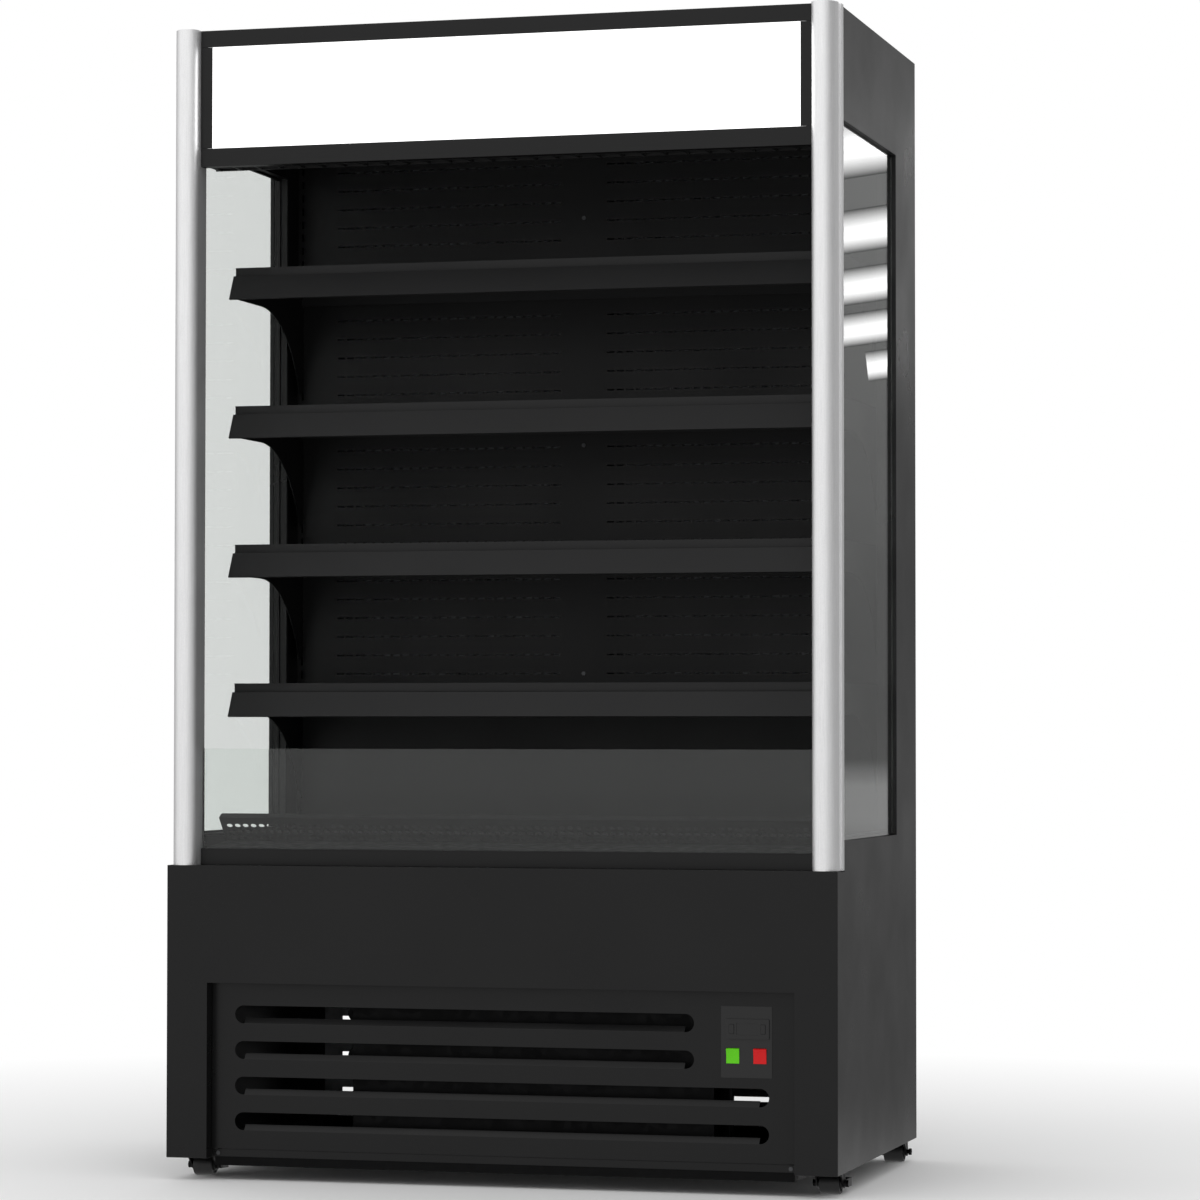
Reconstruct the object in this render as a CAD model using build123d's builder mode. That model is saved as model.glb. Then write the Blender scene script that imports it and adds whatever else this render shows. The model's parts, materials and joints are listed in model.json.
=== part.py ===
from build123d import *
from math import atan2, cos, degrees, floor, radians, sin, sqrt, tan
import os

# Open multideck display fridge on castors, in millimetres.
# Origin on the floor, midway across the width and the depth. +X right, +Y to the back, +Z up.

# ------------------------------------------------------------------ overall sizes
width = 1200.0              # over the side panels
depth = 695.0               # front cladding to the back
height = 2023.0             # floor to the top of the posts and the header
cladding_gap = 40.0         # floor to the lower edge of the cladding
base_top = 551.0            # floor to the top of the base cladding
half_width = width / 2
half_depth = depth / 2

# ------------------------------------------------------------------ sheets and fits
sheet = 1.5                 # folded steel sheet
fit_gap = 0.3               # between pieces that seat on each other
slip_gap = 0.5              # between pieces that slip between side walls
running_gap = 0.05          # radial, shaft in its bore
rim_gap = 0.25              # round a key or a rocker in its cut-out

# ------------------------------------------------------------------ side panels and glass
wall = 40.0                 # foamed side wall
side_drop = 3.0             # top of the header to the top of the side panels and the roof
foam_bottom = 400.0         # lower edge of the foamed walls, above the machine space
window_low = 600.0
window_drop = 194.0         # top of the side panel to the window
window_back = 183.0         # rear jamb of the window to the back
pane = 6.0                  # side glass
pane_set = 8.0              # outer face of the pane, in from the outer face of the wall
pane_grip = 8.0             # glass held in the groove of the wall
liner = 4.0                 # liner round the inside of the window
bead = 8.0                  # raised bead of the liner
bead_set = 13.0             # inner face of the wall to the bead
bead_width = 6.0
rear_flange = 55.0          # folded back edge of the side panel, beside the machine space

# ------------------------------------------------------------------ posts
post_width = 47.0
post_depth = 57.0
post_nose = 41.0            # rounded outer front corner
post_corner = 3.0           # inner front corner
post_skin = 2.5
post_web = 41.0             # front face to the channel for the side glass
channel_gap = 0.5
groove_front = 26.0         # groove in the outer flank
groove_rear = 39.5
groove_floor = 4.5          # groove floor, in from the side

# ------------------------------------------------------------------ chassis and castors
tray_inset = 80.0           # side to the machine tray
tray_bottom = 26.0
tray_sheet = 2.5
tray_upstand = 28.0
tray_rear = 9.0             # chassis end to the back
castor_height = 58.0        # floor to the top of the castor plate
castor_inset = 34.0         # side to the swivel axis
castor_front = 85.0         # swivel axis of the front castors, behind the front
castor_back = 55.0          # swivel axis of the rear castors to the back
castor_trail = 20.0
wheel_radius = 18.0
wheel_width = 40.0
tread_width = 35.0
wheel_hub = 10.0
axle_radius = 4.0
plate_width = 62.0
plate_length = 84.0
plate_corner = 6.0
plate_thick = 2.5
plate_hole = 3.6            # corner radius of a bolt hole
plate_hole_x = 44.0
plate_hole_y = 66.0
race_radius = 28.0
race_thick = 5.0
king_radius = 5.0
king_head = 8.0
king_head_thick = 3.0
crown_radius = 29.0
crown_thick = 3.0
leg_thick = 2.5
leg_gap = 1.3               # wheel to fork leg
leg_top = 36.0              # fork leg where it meets the crown, front to back
leg_boss = 8.0
nut_size = 6.5              # corner radius of the axle nut
nut_thick = 4.6
pedal_arm = 2.0
pedal_boss = 6.0
pedal_reach = 47.0          # axle to the end of the brake pedal
pedal_low = 9.0
pedal_high = 24.0
pedal_plate = 3.0

# ------------------------------------------------------------------ base front
recess_margin = 74.6        # side to the recess in the base front
recess_top = 346.0
recess_depth = 26.0         # front face to the louvred panel
top_flange = 55.0
joggle = 2.0                # step back of the lower edge of the louvred panel
joggle_top = 56.0
panel_low = 41.5
slot_height = 31.0
slot_pitch = 62.1
slot_top = 305.7            # upper edge of the highest slot
slot_margin_left = 117.7    # side to the slots
slot_margin_right = 124.0
slot_stop = 47.4            # end of the two upper slots to the controls
lip_height = 10.0
lip_depth = 8.0
lip_relief = 17.0           # slot end to the folded lip

# ------------------------------------------------------------------ controls
bezel_inset = 162.9         # side to the middle of the bezel
bezel_z = 260.0
bezel_width = 88.6
bezel_height = 121.0
bezel_proud = 0.8
housing_wall = 2.0
housing_depth = 60.0
housing_inset = 2.5         # bezel edge to the box behind it
controller_shift = 1.7      # middle of the bezel to the controller
controller_z = 282.0
controller_width = 76.0
controller_height = 34.0
controller_corner = 2.0
controller_proud = 2.4
controller_body_width = 71.0
controller_body_height = 29.0
controller_body_depth = 50.0
display_width = 38.0
display_height = 20.0
display_depth = 0.8
key_spread = 27.3           # controller centre to a key
key_width = 8.4
key_height = 15.8
key_corner = 1.5
key_proud = 1.0
key_depth = 2.5             # key inside the controller face
key_travel = 0.6
rocker_width = 22.3
rocker_height = 26.1
rocker_z = 236.7
rocker_shift = 0.2          # middle of the bezel to the pair of rockers
rocker_spread = 23.6        # middle of the pair to a rocker
rocker_pivot = 5.0          # pivot behind the bezel face
rocker_level = 1.0          # pressed half above the bezel face
rocker_tilt = 6.0           # each half to the middle plane of the rocker
rocker_hub = 5.0
trunnion_radius = 1.5
trunnion_length = 1.2
surround_wall = 1.6
surround_depth = 11.0

# ------------------------------------------------------------------ insulated tub and back
tub_under = 440.0
tub_floor = 480.0
tub_front_wall = 44.0       # front face to the inside of the front wall
rear_wall = 45.0
roof_thick = 60.0
pressing_depth = 2.0        # pressed fields in the rear skin
pressing_gap = 79.5         # between a pressed field and its half of the skin
pressing_low = 520.0
pressing_drop = 120.0       # top of the side panel to the pressed fields
vent_rows = 4
vent_columns = 6
vent_row_pitch = 67.5
vent_row_low = 103.5
vent_margin = 150.0         # side to the middle of the outer column
vent_length = 120.0
vent_height = 9.0
vent_fold = 18.0

# ------------------------------------------------------------------ inside
back_set = 125.0            # perforated back panel to the back
back_low = 560.0
back_drop = 140.0           # top of the side panel to the back panel
back_fold = 12.0
upright_width = 26.5
upright_depth = 20.0
upright_sheet = 2.0
ladder_pitch = 25.0
ladder_slot = 14.0
ladder_slot_width = 4.0
ladder_margin = 30.0
air_rows = 28
air_row_low = 892.5
air_row_drop = 39.8         # top of the back panel to the highest row
air_block_inner = 45.0
air_block_margin = 119.0    # side to a block of slots
air_slots = 2               # slots in one row of a block
air_slot_height = 4.0
air_slot_gap = 8.0
ceiling_rear_drop = 134.5   # top of the side panel to the ceiling over the display
ceiling_front_drop = 208.0
duct_end = 2.0              # end plates of the air duct

# ------------------------------------------------------------------ shelves
shelf_count = 4
shelf_drop = 398.5          # top of the side panel to the highest shelf
shelf_low = 871.5           # top of the lowest shelf
shelf_front = 205.0
shelf_back_gap = 8.0        # shelf to the back panel
shelf_nose = 15.5           # front fold
shelf_rear_fold = 35.0
shelf_side_fold = 24.0
shelf_rib = 18.0
shelf_rib_width = 50.0
shelf_rib_x = 185.0
shelf_rib_lead = 20.0       # front of the shelf to the ribs
shelf_rib_end = 17.0
bracket_inset = 9.0         # side wall to the middle of the bracket plate
bracket_thick = 2.0
bracket_depth = 56.5        # bracket at the front, below the shelf top
bracket_straight = 340.0
bracket_tail_width = 22.0   # end of the sweep to the back panel
bracket_toe = 4.3           # upright edge below the sweep
bracket_share = 0.8         # height of the bracket, as a share of the shelf spacing
tongue_rise = 37.0          # shelf top down to the lower edge of the upper slot
tongue_share = 0.6          # spacing of the two hooks, as a share of the shelf spacing
tongue_neck = 5.0
tongue_hook = 7.0
tongue_thick = 3.6
rail_ledge = 10.0           # ticket rail in front of the shelf nose
rail_drop = 43.5
rail_lean = 24.0
rail_leg = 11.0
rail_lip = 4.0

# ------------------------------------------------------------------ deck, return grille, front glass
deck_top = 602.0
deck_gap = 0.8              # deck to the side walls
deck_rib = 12.0
deck_rib_width = 40.0
deck_rib_lead = 8.0         # front edge of the front rib to the fan plate it lies on
deck_rib_back = 132.0       # front edge of the rear rib to the back of the deck
grille_lip = (133.5, 638.7)
grille_nose = (120.8, 632.0)
grille_foot = (158.0, 589.0)
grille_toe = (56.6, 580.0)
grille_margin = 52.0        # side to the return grille
grille_pitch = 30.0
grille_row_pitch = 13.8
grille_rows = 3
grille_row_mid = 32.4       # nose to the middle row, along the slope
grille_hole = 10.0
glass_thick = 5.0
glass_front = 44.5
glass_top = 755.0
glass_margin = 3.5          # post to the pane
rail_front = 40.0
rail_rear = 56.0
rail_height = 24.0
rail_lip_height = 28.5
glass_sit = 10.0

# ------------------------------------------------------------------ header
header_front = 28.0
header_height = 241.0
header_low_rail = 32.0
header_top_rail = 29.5
header_rail_depth = 20.0
header_back_fold = 15.0
header_strip = 21.0
diffuser_thick = 3.0
diffuser_lap = 9.0
drop_front = 50.0
drop_wall = 10.0
drop_height = 208.0         # top of the header to the foot of the wall behind it
lamp_margin = 72.5          # post to the lamp
lamp_height = 34.0
lamp_depth = 15.0
lamp_round = 6.0
lamp_drop = 118.0           # top of the header to the middle of the lamp
outlet_height = 26.0
outlet_cell_depth = 18.0
outlet_rear = 122.0
outlet_columns = 28
outlet_rows = 2
outlet_web = 4.0

# ------------------------------------------------------------------ refrigeration
condenser_left_gap = 228.0  # edge of the machine tray to the condenser
condenser_right_gap = 132.0
condenser_front = 60.0
condenser_depth = 50.0
condenser_top = 330.0
end_plate = 2.0
coil_end = 16.0             # coil end plate to the end of the shroud
bend_radius = 12.5
tube_radius = 4.0
bend_count = 4
shroud_depth = 30.0
shroud_skin = 1.5
fan_z = 182.0
fan_tip = 122.0
fan_tip_gap = 6.0
fan_middle = 157.0          # middle of the blades, behind the front
fan_hub = 28.0
fan_hub_depth = 26.0
blade_count = 5
blade_thick = 2.5
blade_pitch = 26.0
blade_root_chord = 34.0
blade_tip_chord = 70.0
shaft_radius = 4.0
collar_depth = 42.0
motor_radius = 38.0
motor_depth = 46.0
strut = 6.0
compressor_x = -150.0
compressor_back = 245.0     # compressor axis to the back
compressor_radius = 92.0
compressor_taper = 40.0     # slope of the shell's ends
compressor_end = 30.0
shell_sides = 24
compressor_height = 190.0
compressor_seam = 3.0
foot_height = 14.0
foot_radius = 14.0
foot_spread = 84.0
evaporator_margin = 93.5    # upright to the evaporator
evaporator_lead = 210.0     # front of the evaporator to the back panel
evaporator_gap = 50.0
evaporator_top = 580.0
coil_foot = 8.0
fan_plate_lead = 280.0      # fan plate to the back panel
fan_plate_fold = 25.0
small_fan_inset = 210.0     # end of the evaporator to a fan
small_fan_z = 534.0
small_fan_tip = 44.0
small_fan_gap = 3.0
small_fan_hub = 16.0
small_hub_depth = 16.0
small_root_chord = 18.0
small_tip_chord = 26.0
small_shaft = 3.0
small_motor_radius = 20.0
small_motor_depth = 30.0
small_collar = 24.0
small_strut = 4.0

# ------------------------------------------------------------------ fasteners
screw_head = 4.0
screw_head_thick = 1.6
bolt_head = 5.0
bolt_head_thick = 4.0
bolt_shank = 2.9
bolt_tail = 3.0
back_screws = 3
back_screw_drop = 142.0     # top of the back panel to its highest screw
vent_screws = 3
vent_screw_margin = 40.0    # lower edge of the rear cover to its lowest screw
vent_screw_drop = 70.0

# ------------------------------------------------------------------ places worked out
wall_inner = half_width - wall
body_half = wall_inner - slip_gap
post_inner = half_width - post_width
between_posts = post_inner - slip_gap
side_top = height - side_drop
window_high = side_top - window_drop
window_rear = depth - window_back
tray_half = half_width - tray_inset
castor_x = half_width - castor_inset
castor_rear = depth - castor_back
recess_half = half_width - recess_margin
bezel_x = half_width - bezel_inset
controller_x = bezel_x + controller_shift
rocker_green_x = bezel_x - rocker_shift - rocker_spread
rocker_red_x = bezel_x - rocker_shift + rocker_spread
slot_left = slot_margin_left - half_width
slot_right_short = bezel_x - bezel_width / 2 - slot_stop
slot_right_long = half_width - slot_margin_right
seam_front = sheet + fit_gap
flange_low = base_top - sheet - fit_gap
pane_outer = half_width - pane_set
pane_inner = pane_outer - pane
castor_spots = {
    "front_left": (-castor_x, castor_front),
    "front_right": (castor_x, castor_front),
    "rear_left": (-castor_x, castor_rear),
    "rear_right": (castor_x, castor_rear),
}
plate_low = castor_height - plate_thick
race_low = plate_low - race_thick
crown_high = race_low - fit_gap
crown_low = crown_high - crown_thick
leg_inner = wheel_width / 2 + leg_gap
leg_outer = leg_inner + leg_thick
pedal_inner = leg_outer + fit_gap
nut_inner = pedal_inner + pedal_arm + fit_gap
chassis_front = recess_depth + sheet + joggle
chassis_rear = depth - tray_rear
tray_floor = tray_bottom + tray_sheet
vent_face = depth - screw_head_thick
vent_inner = vent_face - sheet
rear_skin = vent_face
rear_wall_front = rear_skin - rear_wall
roof_under = side_top - roof_thick
header_low = height - header_height
header_high = height - header_top_rail
window_half = between_posts - header_strip
drop_low = height - drop_height
ceiling_rear = side_top - ceiling_rear_drop
ceiling_front = side_top - ceiling_front_drop
outlet_low = ceiling_front - outlet_height
bezel_face = recess_depth - bezel_proud
controller_face = bezel_face - controller_proud
condenser_left = condenser_left_gap - tray_half
condenser_right = tray_half - condenser_right_gap
fan_x = (condenser_left + condenser_right) / 2
shroud_front = condenser_front + condenser_depth
shroud_plate = shroud_front + shroud_depth
back_face = depth - back_set
back_high = side_top - back_drop
upright_inner = wall_inner - upright_width
back_half = upright_inner - fit_gap
bracket_half = wall_inner - bracket_inset
bracket_tail = back_face - bracket_tail_width
shelf_half = bracket_half - bracket_thick / 2 - fit_gap
plate_half = bracket_half + bracket_thick / 2
ledge_front = shelf_front - rail_ledge
shelf_top = side_top - shelf_drop
shelf_rear = back_face - shelf_back_gap
shelf_steps = round((shelf_top - shelf_low) / (shelf_count - 1) / ladder_pitch)
shelf_pitch = shelf_steps * ladder_pitch
shelf_tops = [shelf_top - shelf_pitch * i for i in range(shelf_count)]
tongue_pitch = round(tongue_share * shelf_steps) * ladder_pitch
bracket_drop = bracket_share * shelf_pitch
deck_under = deck_top - sheet - deck_rib
evaporator_half = upright_inner - evaporator_margin
evaporator_front = back_face - evaporator_lead
evaporator_rear = back_face - evaporator_gap
fan_plate_place = back_face - fan_plate_lead
fan_plate_top = deck_under - fit_gap
small_fan_x = evaporator_half - small_fan_inset


# ------------------------------------------------------------------ planes and profiles
def back(d):
    """Y of a place that lies d behind the front face."""
    return d - half_depth


def facing(d):
    """Upright plane that looks to the front, d behind it: X to the right, Z up."""
    return Plane.XZ.offset(half_depth - d)


def across(x):
    """Upright plane at X = x that looks to the right: Y to the right, Z up."""
    return Plane.YZ.offset(x)


def outline(points, mode=Mode.ADD):
    """Face through corners given as (distance behind the front, height)."""
    with BuildLine() as line:
        Polyline(*[(back(d), z) for d, z in points], close=True)
    make_face(line.edges(), mode=mode)


def field(low, high, mode=Mode.ADD):
    """Rectangle between two corners given as (distance behind the front, height)."""
    outline([low, (high[0], low[1]), high, (low[0], high[1])], mode)


def bent(points, thick):
    """Section of a bent sheet along plain points of the sketch, its thickness to the left."""
    with BuildLine() as line:
        Polyline(*points)
        offset(amount=thick, kind=Kind.INTERSECTION, side=Side.LEFT)
    make_face(line.edges())


def folded(points, thick):
    """Section of a bent sheet along (distance behind the front, height) points."""
    bent([(back(d), z) for d, z in points], thick)


def inward(side):
    """Alignment that lets a rectangle grow from the given side to the middle."""
    return Align.MAX if side > 0 else Align.MIN


def finish(piece, label):
    """Name a piece and write it."""
    piece.part.label = label
    export_step(piece.part, f"parts/{label}.step")


# ------------------------------------------------------------------ chassis and castors
def make_chassis():
    """Machine tray with side rails that the castors are bolted under."""
    rail_end = half_width - sheet - fit_gap
    with BuildPart() as chassis:
        with BuildSketch(facing(chassis_front)):
            bent(
                [
                    (-rail_end, castor_height),
                    (-tray_half, castor_height),
                    (-tray_half, tray_bottom),
                    (tray_half, tray_bottom),
                    (tray_half, castor_height),
                    (rail_end, castor_height),
                ],
                tray_sheet,
            )
        extrude(amount=chassis_front - chassis_rear)
        for d in (chassis_front, chassis_rear - tray_sheet):
            with BuildSketch(facing(d)):
                with Locations((0, tray_bottom)):
                    Rectangle(2 * tray_half, tray_upstand, align=(Align.CENTER, Align.MIN))
            extrude(amount=-tray_sheet)
        with BuildSketch(Plane.XY.offset(castor_height)):
            for x, d in castor_spots.values():
                with Locations((x, back(d))):
                    with GridLocations(plate_hole_x, plate_hole_y, 2, 2):
                        RegularPolygon(plate_hole, 6)
        extrude(amount=tray_sheet, mode=Mode.SUBTRACT)
    return chassis


def make_castor_mounts():
    """Castor plates, each with its ball race and king pin."""
    spots = [(x, back(d)) for x, d in castor_spots.values()]
    head_low = crown_low - fit_gap - king_head_thick
    with BuildPart() as mounts:
        with BuildSketch(Plane.XY.offset(plate_low)):
            with Locations(*spots):
                Rectangle(plate_width, plate_length)
            chamfer(vertices(), plate_corner)
            for spot in spots:
                with Locations(spot):
                    with GridLocations(plate_hole_x, plate_hole_y, 2, 2):
                        RegularPolygon(plate_hole, 6, mode=Mode.SUBTRACT)
        extrude(amount=plate_thick)
        with BuildSketch(Plane.XY.offset(race_low)):
            with Locations(*spots):
                Circle(race_radius)
        extrude(amount=race_thick)
        with BuildSketch(Plane.XY.offset(head_low)):
            with Locations(*spots):
                Circle(king_radius)
        extrude(amount=race_low - head_low)
        with BuildSketch(Plane.XY.offset(head_low)):
            with Locations(*spots):
                RegularPolygon(king_head, 6)
        extrude(amount=king_head_thick)
    return mounts


def make_castor_fork(x, d):
    """Pressed swivel fork with its riveted axle and nuts."""
    axle = (back(d + castor_trail), wheel_radius)
    with BuildPart() as fork:
        with BuildSketch(Plane.XY.offset(crown_low)):
            with Locations((x, back(d))):
                Circle(crown_radius)
                Circle(king_radius + running_gap, mode=Mode.SUBTRACT)
        extrude(amount=crown_thick)
        for side in (-1, 1):
            with BuildSketch(across(x + side * leg_inner)):
                with Locations(axle):
                    RegularPolygon(leg_boss, 8)
                with Locations((back(d), crown_low)):
                    Rectangle(leg_top, crown_thick, align=(Align.CENTER, Align.MIN))
                make_hull()
            extrude(amount=side * leg_thick)
            with BuildSketch(across(x + side * nut_inner)):
                with Locations(axle):
                    RegularPolygon(nut_size, 6)
            extrude(amount=side * nut_thick)
        with BuildSketch(across(x - nut_inner)):
            with Locations(axle):
                Circle(axle_radius)
        extrude(amount=2 * nut_inner)
    return fork


def make_castor_wheel(x, d):
    """Broad low wheel with a hub on both sides, bored for the axle."""
    y = back(d + castor_trail)
    with BuildPart() as wheel:
        for radius, span in ((wheel_radius, tread_width), (wheel_hub, wheel_width)):
            with BuildSketch(across(x - span / 2)):
                with Locations((y, wheel_radius)):
                    Circle(radius)
            extrude(amount=span)
        with BuildSketch(across(x - wheel_width / 2)):
            with Locations((y, wheel_radius)):
                Circle(axle_radius + running_gap)
        extrude(amount=wheel_width, mode=Mode.SUBTRACT)
    return wheel


def make_castor_brake(x, d):
    """Brake pedal hung on the axle, behind the wheel."""
    axle = (back(d + castor_trail), wheel_radius)
    tip = axle[0] + pedal_reach
    with BuildPart() as brake:
        for side in (-1, 1):
            with BuildSketch(across(x + side * pedal_inner)):
                with Locations(axle):
                    Circle(pedal_boss)
                with Locations((tip, pedal_low)):
                    Rectangle(pedal_plate, pedal_high - pedal_low, align=(Align.MAX, Align.MIN))
                make_hull()
                with Locations(axle):
                    Circle(axle_radius + running_gap, mode=Mode.SUBTRACT)
            extrude(amount=side * pedal_arm)
        with BuildSketch(across(x - pedal_inner)):
            with Locations((tip, pedal_low)):
                Rectangle(pedal_plate, pedal_high - pedal_low, align=(Align.MAX, Align.MIN))
        extrude(amount=2 * pedal_inner)
    return brake


# ------------------------------------------------------------------ cladding
def make_front_panel():
    """Base front: one folded sheet with the recess for the louvred panel."""
    recess_height = recess_top - cladding_gap
    from_below = (Align.CENTER, Align.MIN)
    with BuildPart() as panel:
        with BuildSketch(facing(0)):
            with Locations((0, cladding_gap)):
                Rectangle(width, base_top - cladding_gap, align=from_below)
                Rectangle(2 * recess_half, recess_height, align=from_below, mode=Mode.SUBTRACT)
        extrude(amount=-sheet)
        with BuildSketch(facing(0)):
            with Locations((0, cladding_gap)):
                Rectangle(2 * (recess_half + sheet), recess_height + sheet, align=from_below)
                Rectangle(2 * recess_half, recess_height, align=from_below, mode=Mode.SUBTRACT)
        extrude(amount=fit_gap - chassis_front)
        with BuildSketch(Plane.XY.offset(base_top)):
            with Locations((0, back(0))):
                Rectangle(2 * (half_width - sheet - fit_gap), top_flange, align=from_below)
        extrude(amount=-sheet)
    return panel


def louvre_slots():
    """Each slot as (left end, right end, upper edge)."""
    rights = (slot_right_short, slot_right_short, slot_right_long, slot_right_long)
    return [(slot_left, right, slot_top - slot_pitch * i) for i, right in enumerate(rights)]


def make_louvre_panel():
    """Recessed lower panel: four rounded slots with folded lips, and the cut-out for the controls."""
    half = recess_half - fit_gap
    top = recess_top - fit_gap
    front = recess_depth
    with BuildPart() as panel:
        with BuildSketch(across(-half)):
            folded(
                [
                    (front, top),
                    (front, joggle_top),
                    (front + joggle, joggle_top - joggle),
                    (front + joggle, panel_low),
                ],
                sheet,
            )
        extrude(amount=2 * half)
        for side in (-1, 1):
            with BuildSketch(facing(front)):
                with Locations((side * half, joggle_top)):
                    Rectangle(sheet, top - joggle_top, align=(inward(side), Align.MIN))
            extrude(amount=fit_gap - sheet - joggle)
        with BuildSketch(facing(front)):
            for left, right, upper in louvre_slots():
                with Locations(((left + right) / 2, upper - slot_height / 2)):
                    SlotOverall(right - left, slot_height)
            with Locations((bezel_x, bezel_z)):
                Rectangle(bezel_width - 2 * housing_inset, bezel_height - 2 * housing_inset)
        extrude(amount=-2 * sheet, mode=Mode.SUBTRACT)
        for left, right, upper in louvre_slots():
            low = upper - slot_height
            with BuildSketch(across(left + lip_relief)):
                outline(
                    [
                        (front, low - sheet),
                        (front, low),
                        (front + lip_depth, low + lip_height),
                        (front + lip_depth + sheet, low + lip_height - sheet),
                        (front + sheet, low - sheet),
                    ]
                )
            extrude(amount=right - left - 2 * lip_relief)
    return panel


def make_side_panel(side):
    """One continuous side: foamed beside the display, a folded skin beside the machine space."""
    grip = pane_grip + fit_gap
    with BuildPart() as panel:
        with BuildSketch(across(side * half_width)):
            outline(
                [
                    (seam_front, foam_bottom),
                    (depth, foam_bottom),
                    (depth, side_top),
                    (post_depth, side_top),
                    (post_depth, flange_low),
                    (seam_front, flange_low),
                ]
            )
        extrude(amount=-side * wall)
        with BuildSketch(across(side * half_width)):
            field((seam_front, cladding_gap), (depth, foam_bottom))
        extrude(amount=-side * sheet)
        with BuildSketch(facing(vent_inner)):
            with Locations((side * half_width, cladding_gap)):
                Rectangle(rear_flange, foam_bottom - cladding_gap, align=(inward(side), Align.MIN))
        extrude(amount=sheet)
        # the window, open to the post, and the groove that holds its glass
        with BuildSketch(across(side * half_width)):
            field((post_depth, window_low), (window_rear, window_high))
        extrude(amount=-side * wall, mode=Mode.SUBTRACT)
        with BuildSketch(across(side * (pane_outer + fit_gap))):
            field((post_depth, window_low - grip), (window_rear + grip, window_high + grip))
        extrude(amount=-side * (pane + 2 * fit_gap), mode=Mode.SUBTRACT)
    return panel


def make_side_glass(side):
    """Fixed pane between the groove of the wall and the channel of the post."""
    with BuildPart() as glass:
        with BuildSketch(across(side * pane_outer)):
            field(
                (post_web + fit_gap, window_low - pane_grip),
                (window_rear + pane_grip, window_high + pane_grip),
            )
        extrude(amount=-side * pane)
    return glass


def make_window_frames():
    """Black liners on the inner side of both panes, each with a raised bead."""
    low = (post_depth + fit_gap, window_low + fit_gap)
    high = (window_rear - fit_gap, window_high - fit_gap)
    with BuildPart() as frames:
        for side in (-1, 1):
            for start, run, rise in (
                (wall_inner, pane_inner - fit_gap - wall_inner, liner),
                (wall_inner + bead_set, bead_width, bead),
            ):
                with BuildSketch(across(side * start)):
                    field(low, high)
                    field(
                        (low[0] + rise, low[1] + rise),
                        (high[0] - rise, high[1] - rise),
                        mode=Mode.SUBTRACT,
                    )
                extrude(amount=side * run)
    return frames


def post_plan(side, inset):
    """Plan of a post with its rounded nose, drawn in by inset."""
    outer = side * (half_width - inset)
    inner = side * (post_inner + inset)
    with Locations((outer, back(inset))):
        Rectangle(post_width - 2 * inset, post_depth - 2 * inset, align=(inward(side), Align.MIN))
    nose = vertices().sort_by_distance((outer, back(inset), 0))[0]
    fillet(nose, post_nose - inset)
    corner = vertices().sort_by_distance((inner, back(inset), 0))[0]
    fillet(corner, max(post_corner - inset, fit_gap))


def plan_field(side, low, high, mode=Mode.ADD):
    """Rectangle in plan between corners given as (distance from the middle, behind the front)."""
    x = side * (low[0] + high[0]) / 2
    y = back((low[1] + high[1]) / 2)
    with Locations((x, y)):
        Rectangle(high[0] - low[0], high[1] - low[1], mode=mode)


def make_post(side):
    """Extruded front post: rounded nose, groove, hollow chambers and the channel for the glass."""
    run = height - base_top
    inside = post_inner + post_skin
    channel_inner = pane_inner - channel_gap
    channel_outer = pane_outer + channel_gap
    groove_back = half_width - groove_floor
    with BuildPart() as post:
        with BuildSketch(Plane.XY.offset(base_top)):
            post_plan(side, 0)
        extrude(amount=run)
        with BuildSketch(Plane.XY.offset(base_top)):
            post_plan(side, post_skin)
            plan_field(
                side, (inside, post_skin), (half_width, groove_front - post_skin), Mode.INTERSECT
            )
        extrude(amount=run, mode=Mode.SUBTRACT)
        with BuildSketch(Plane.XY.offset(base_top)):
            plan_field(side, (inside, groove_front), (groove_back - post_skin, post_web - post_skin))
            plan_field(side, (inside, post_web), (channel_inner - post_skin, post_depth - post_skin))
            plan_field(side, (channel_inner, post_web), (channel_outer, post_depth))
            plan_field(side, (groove_back, groove_front), (half_width, groove_rear))
        extrude(amount=run, mode=Mode.SUBTRACT)
    return post


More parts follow.
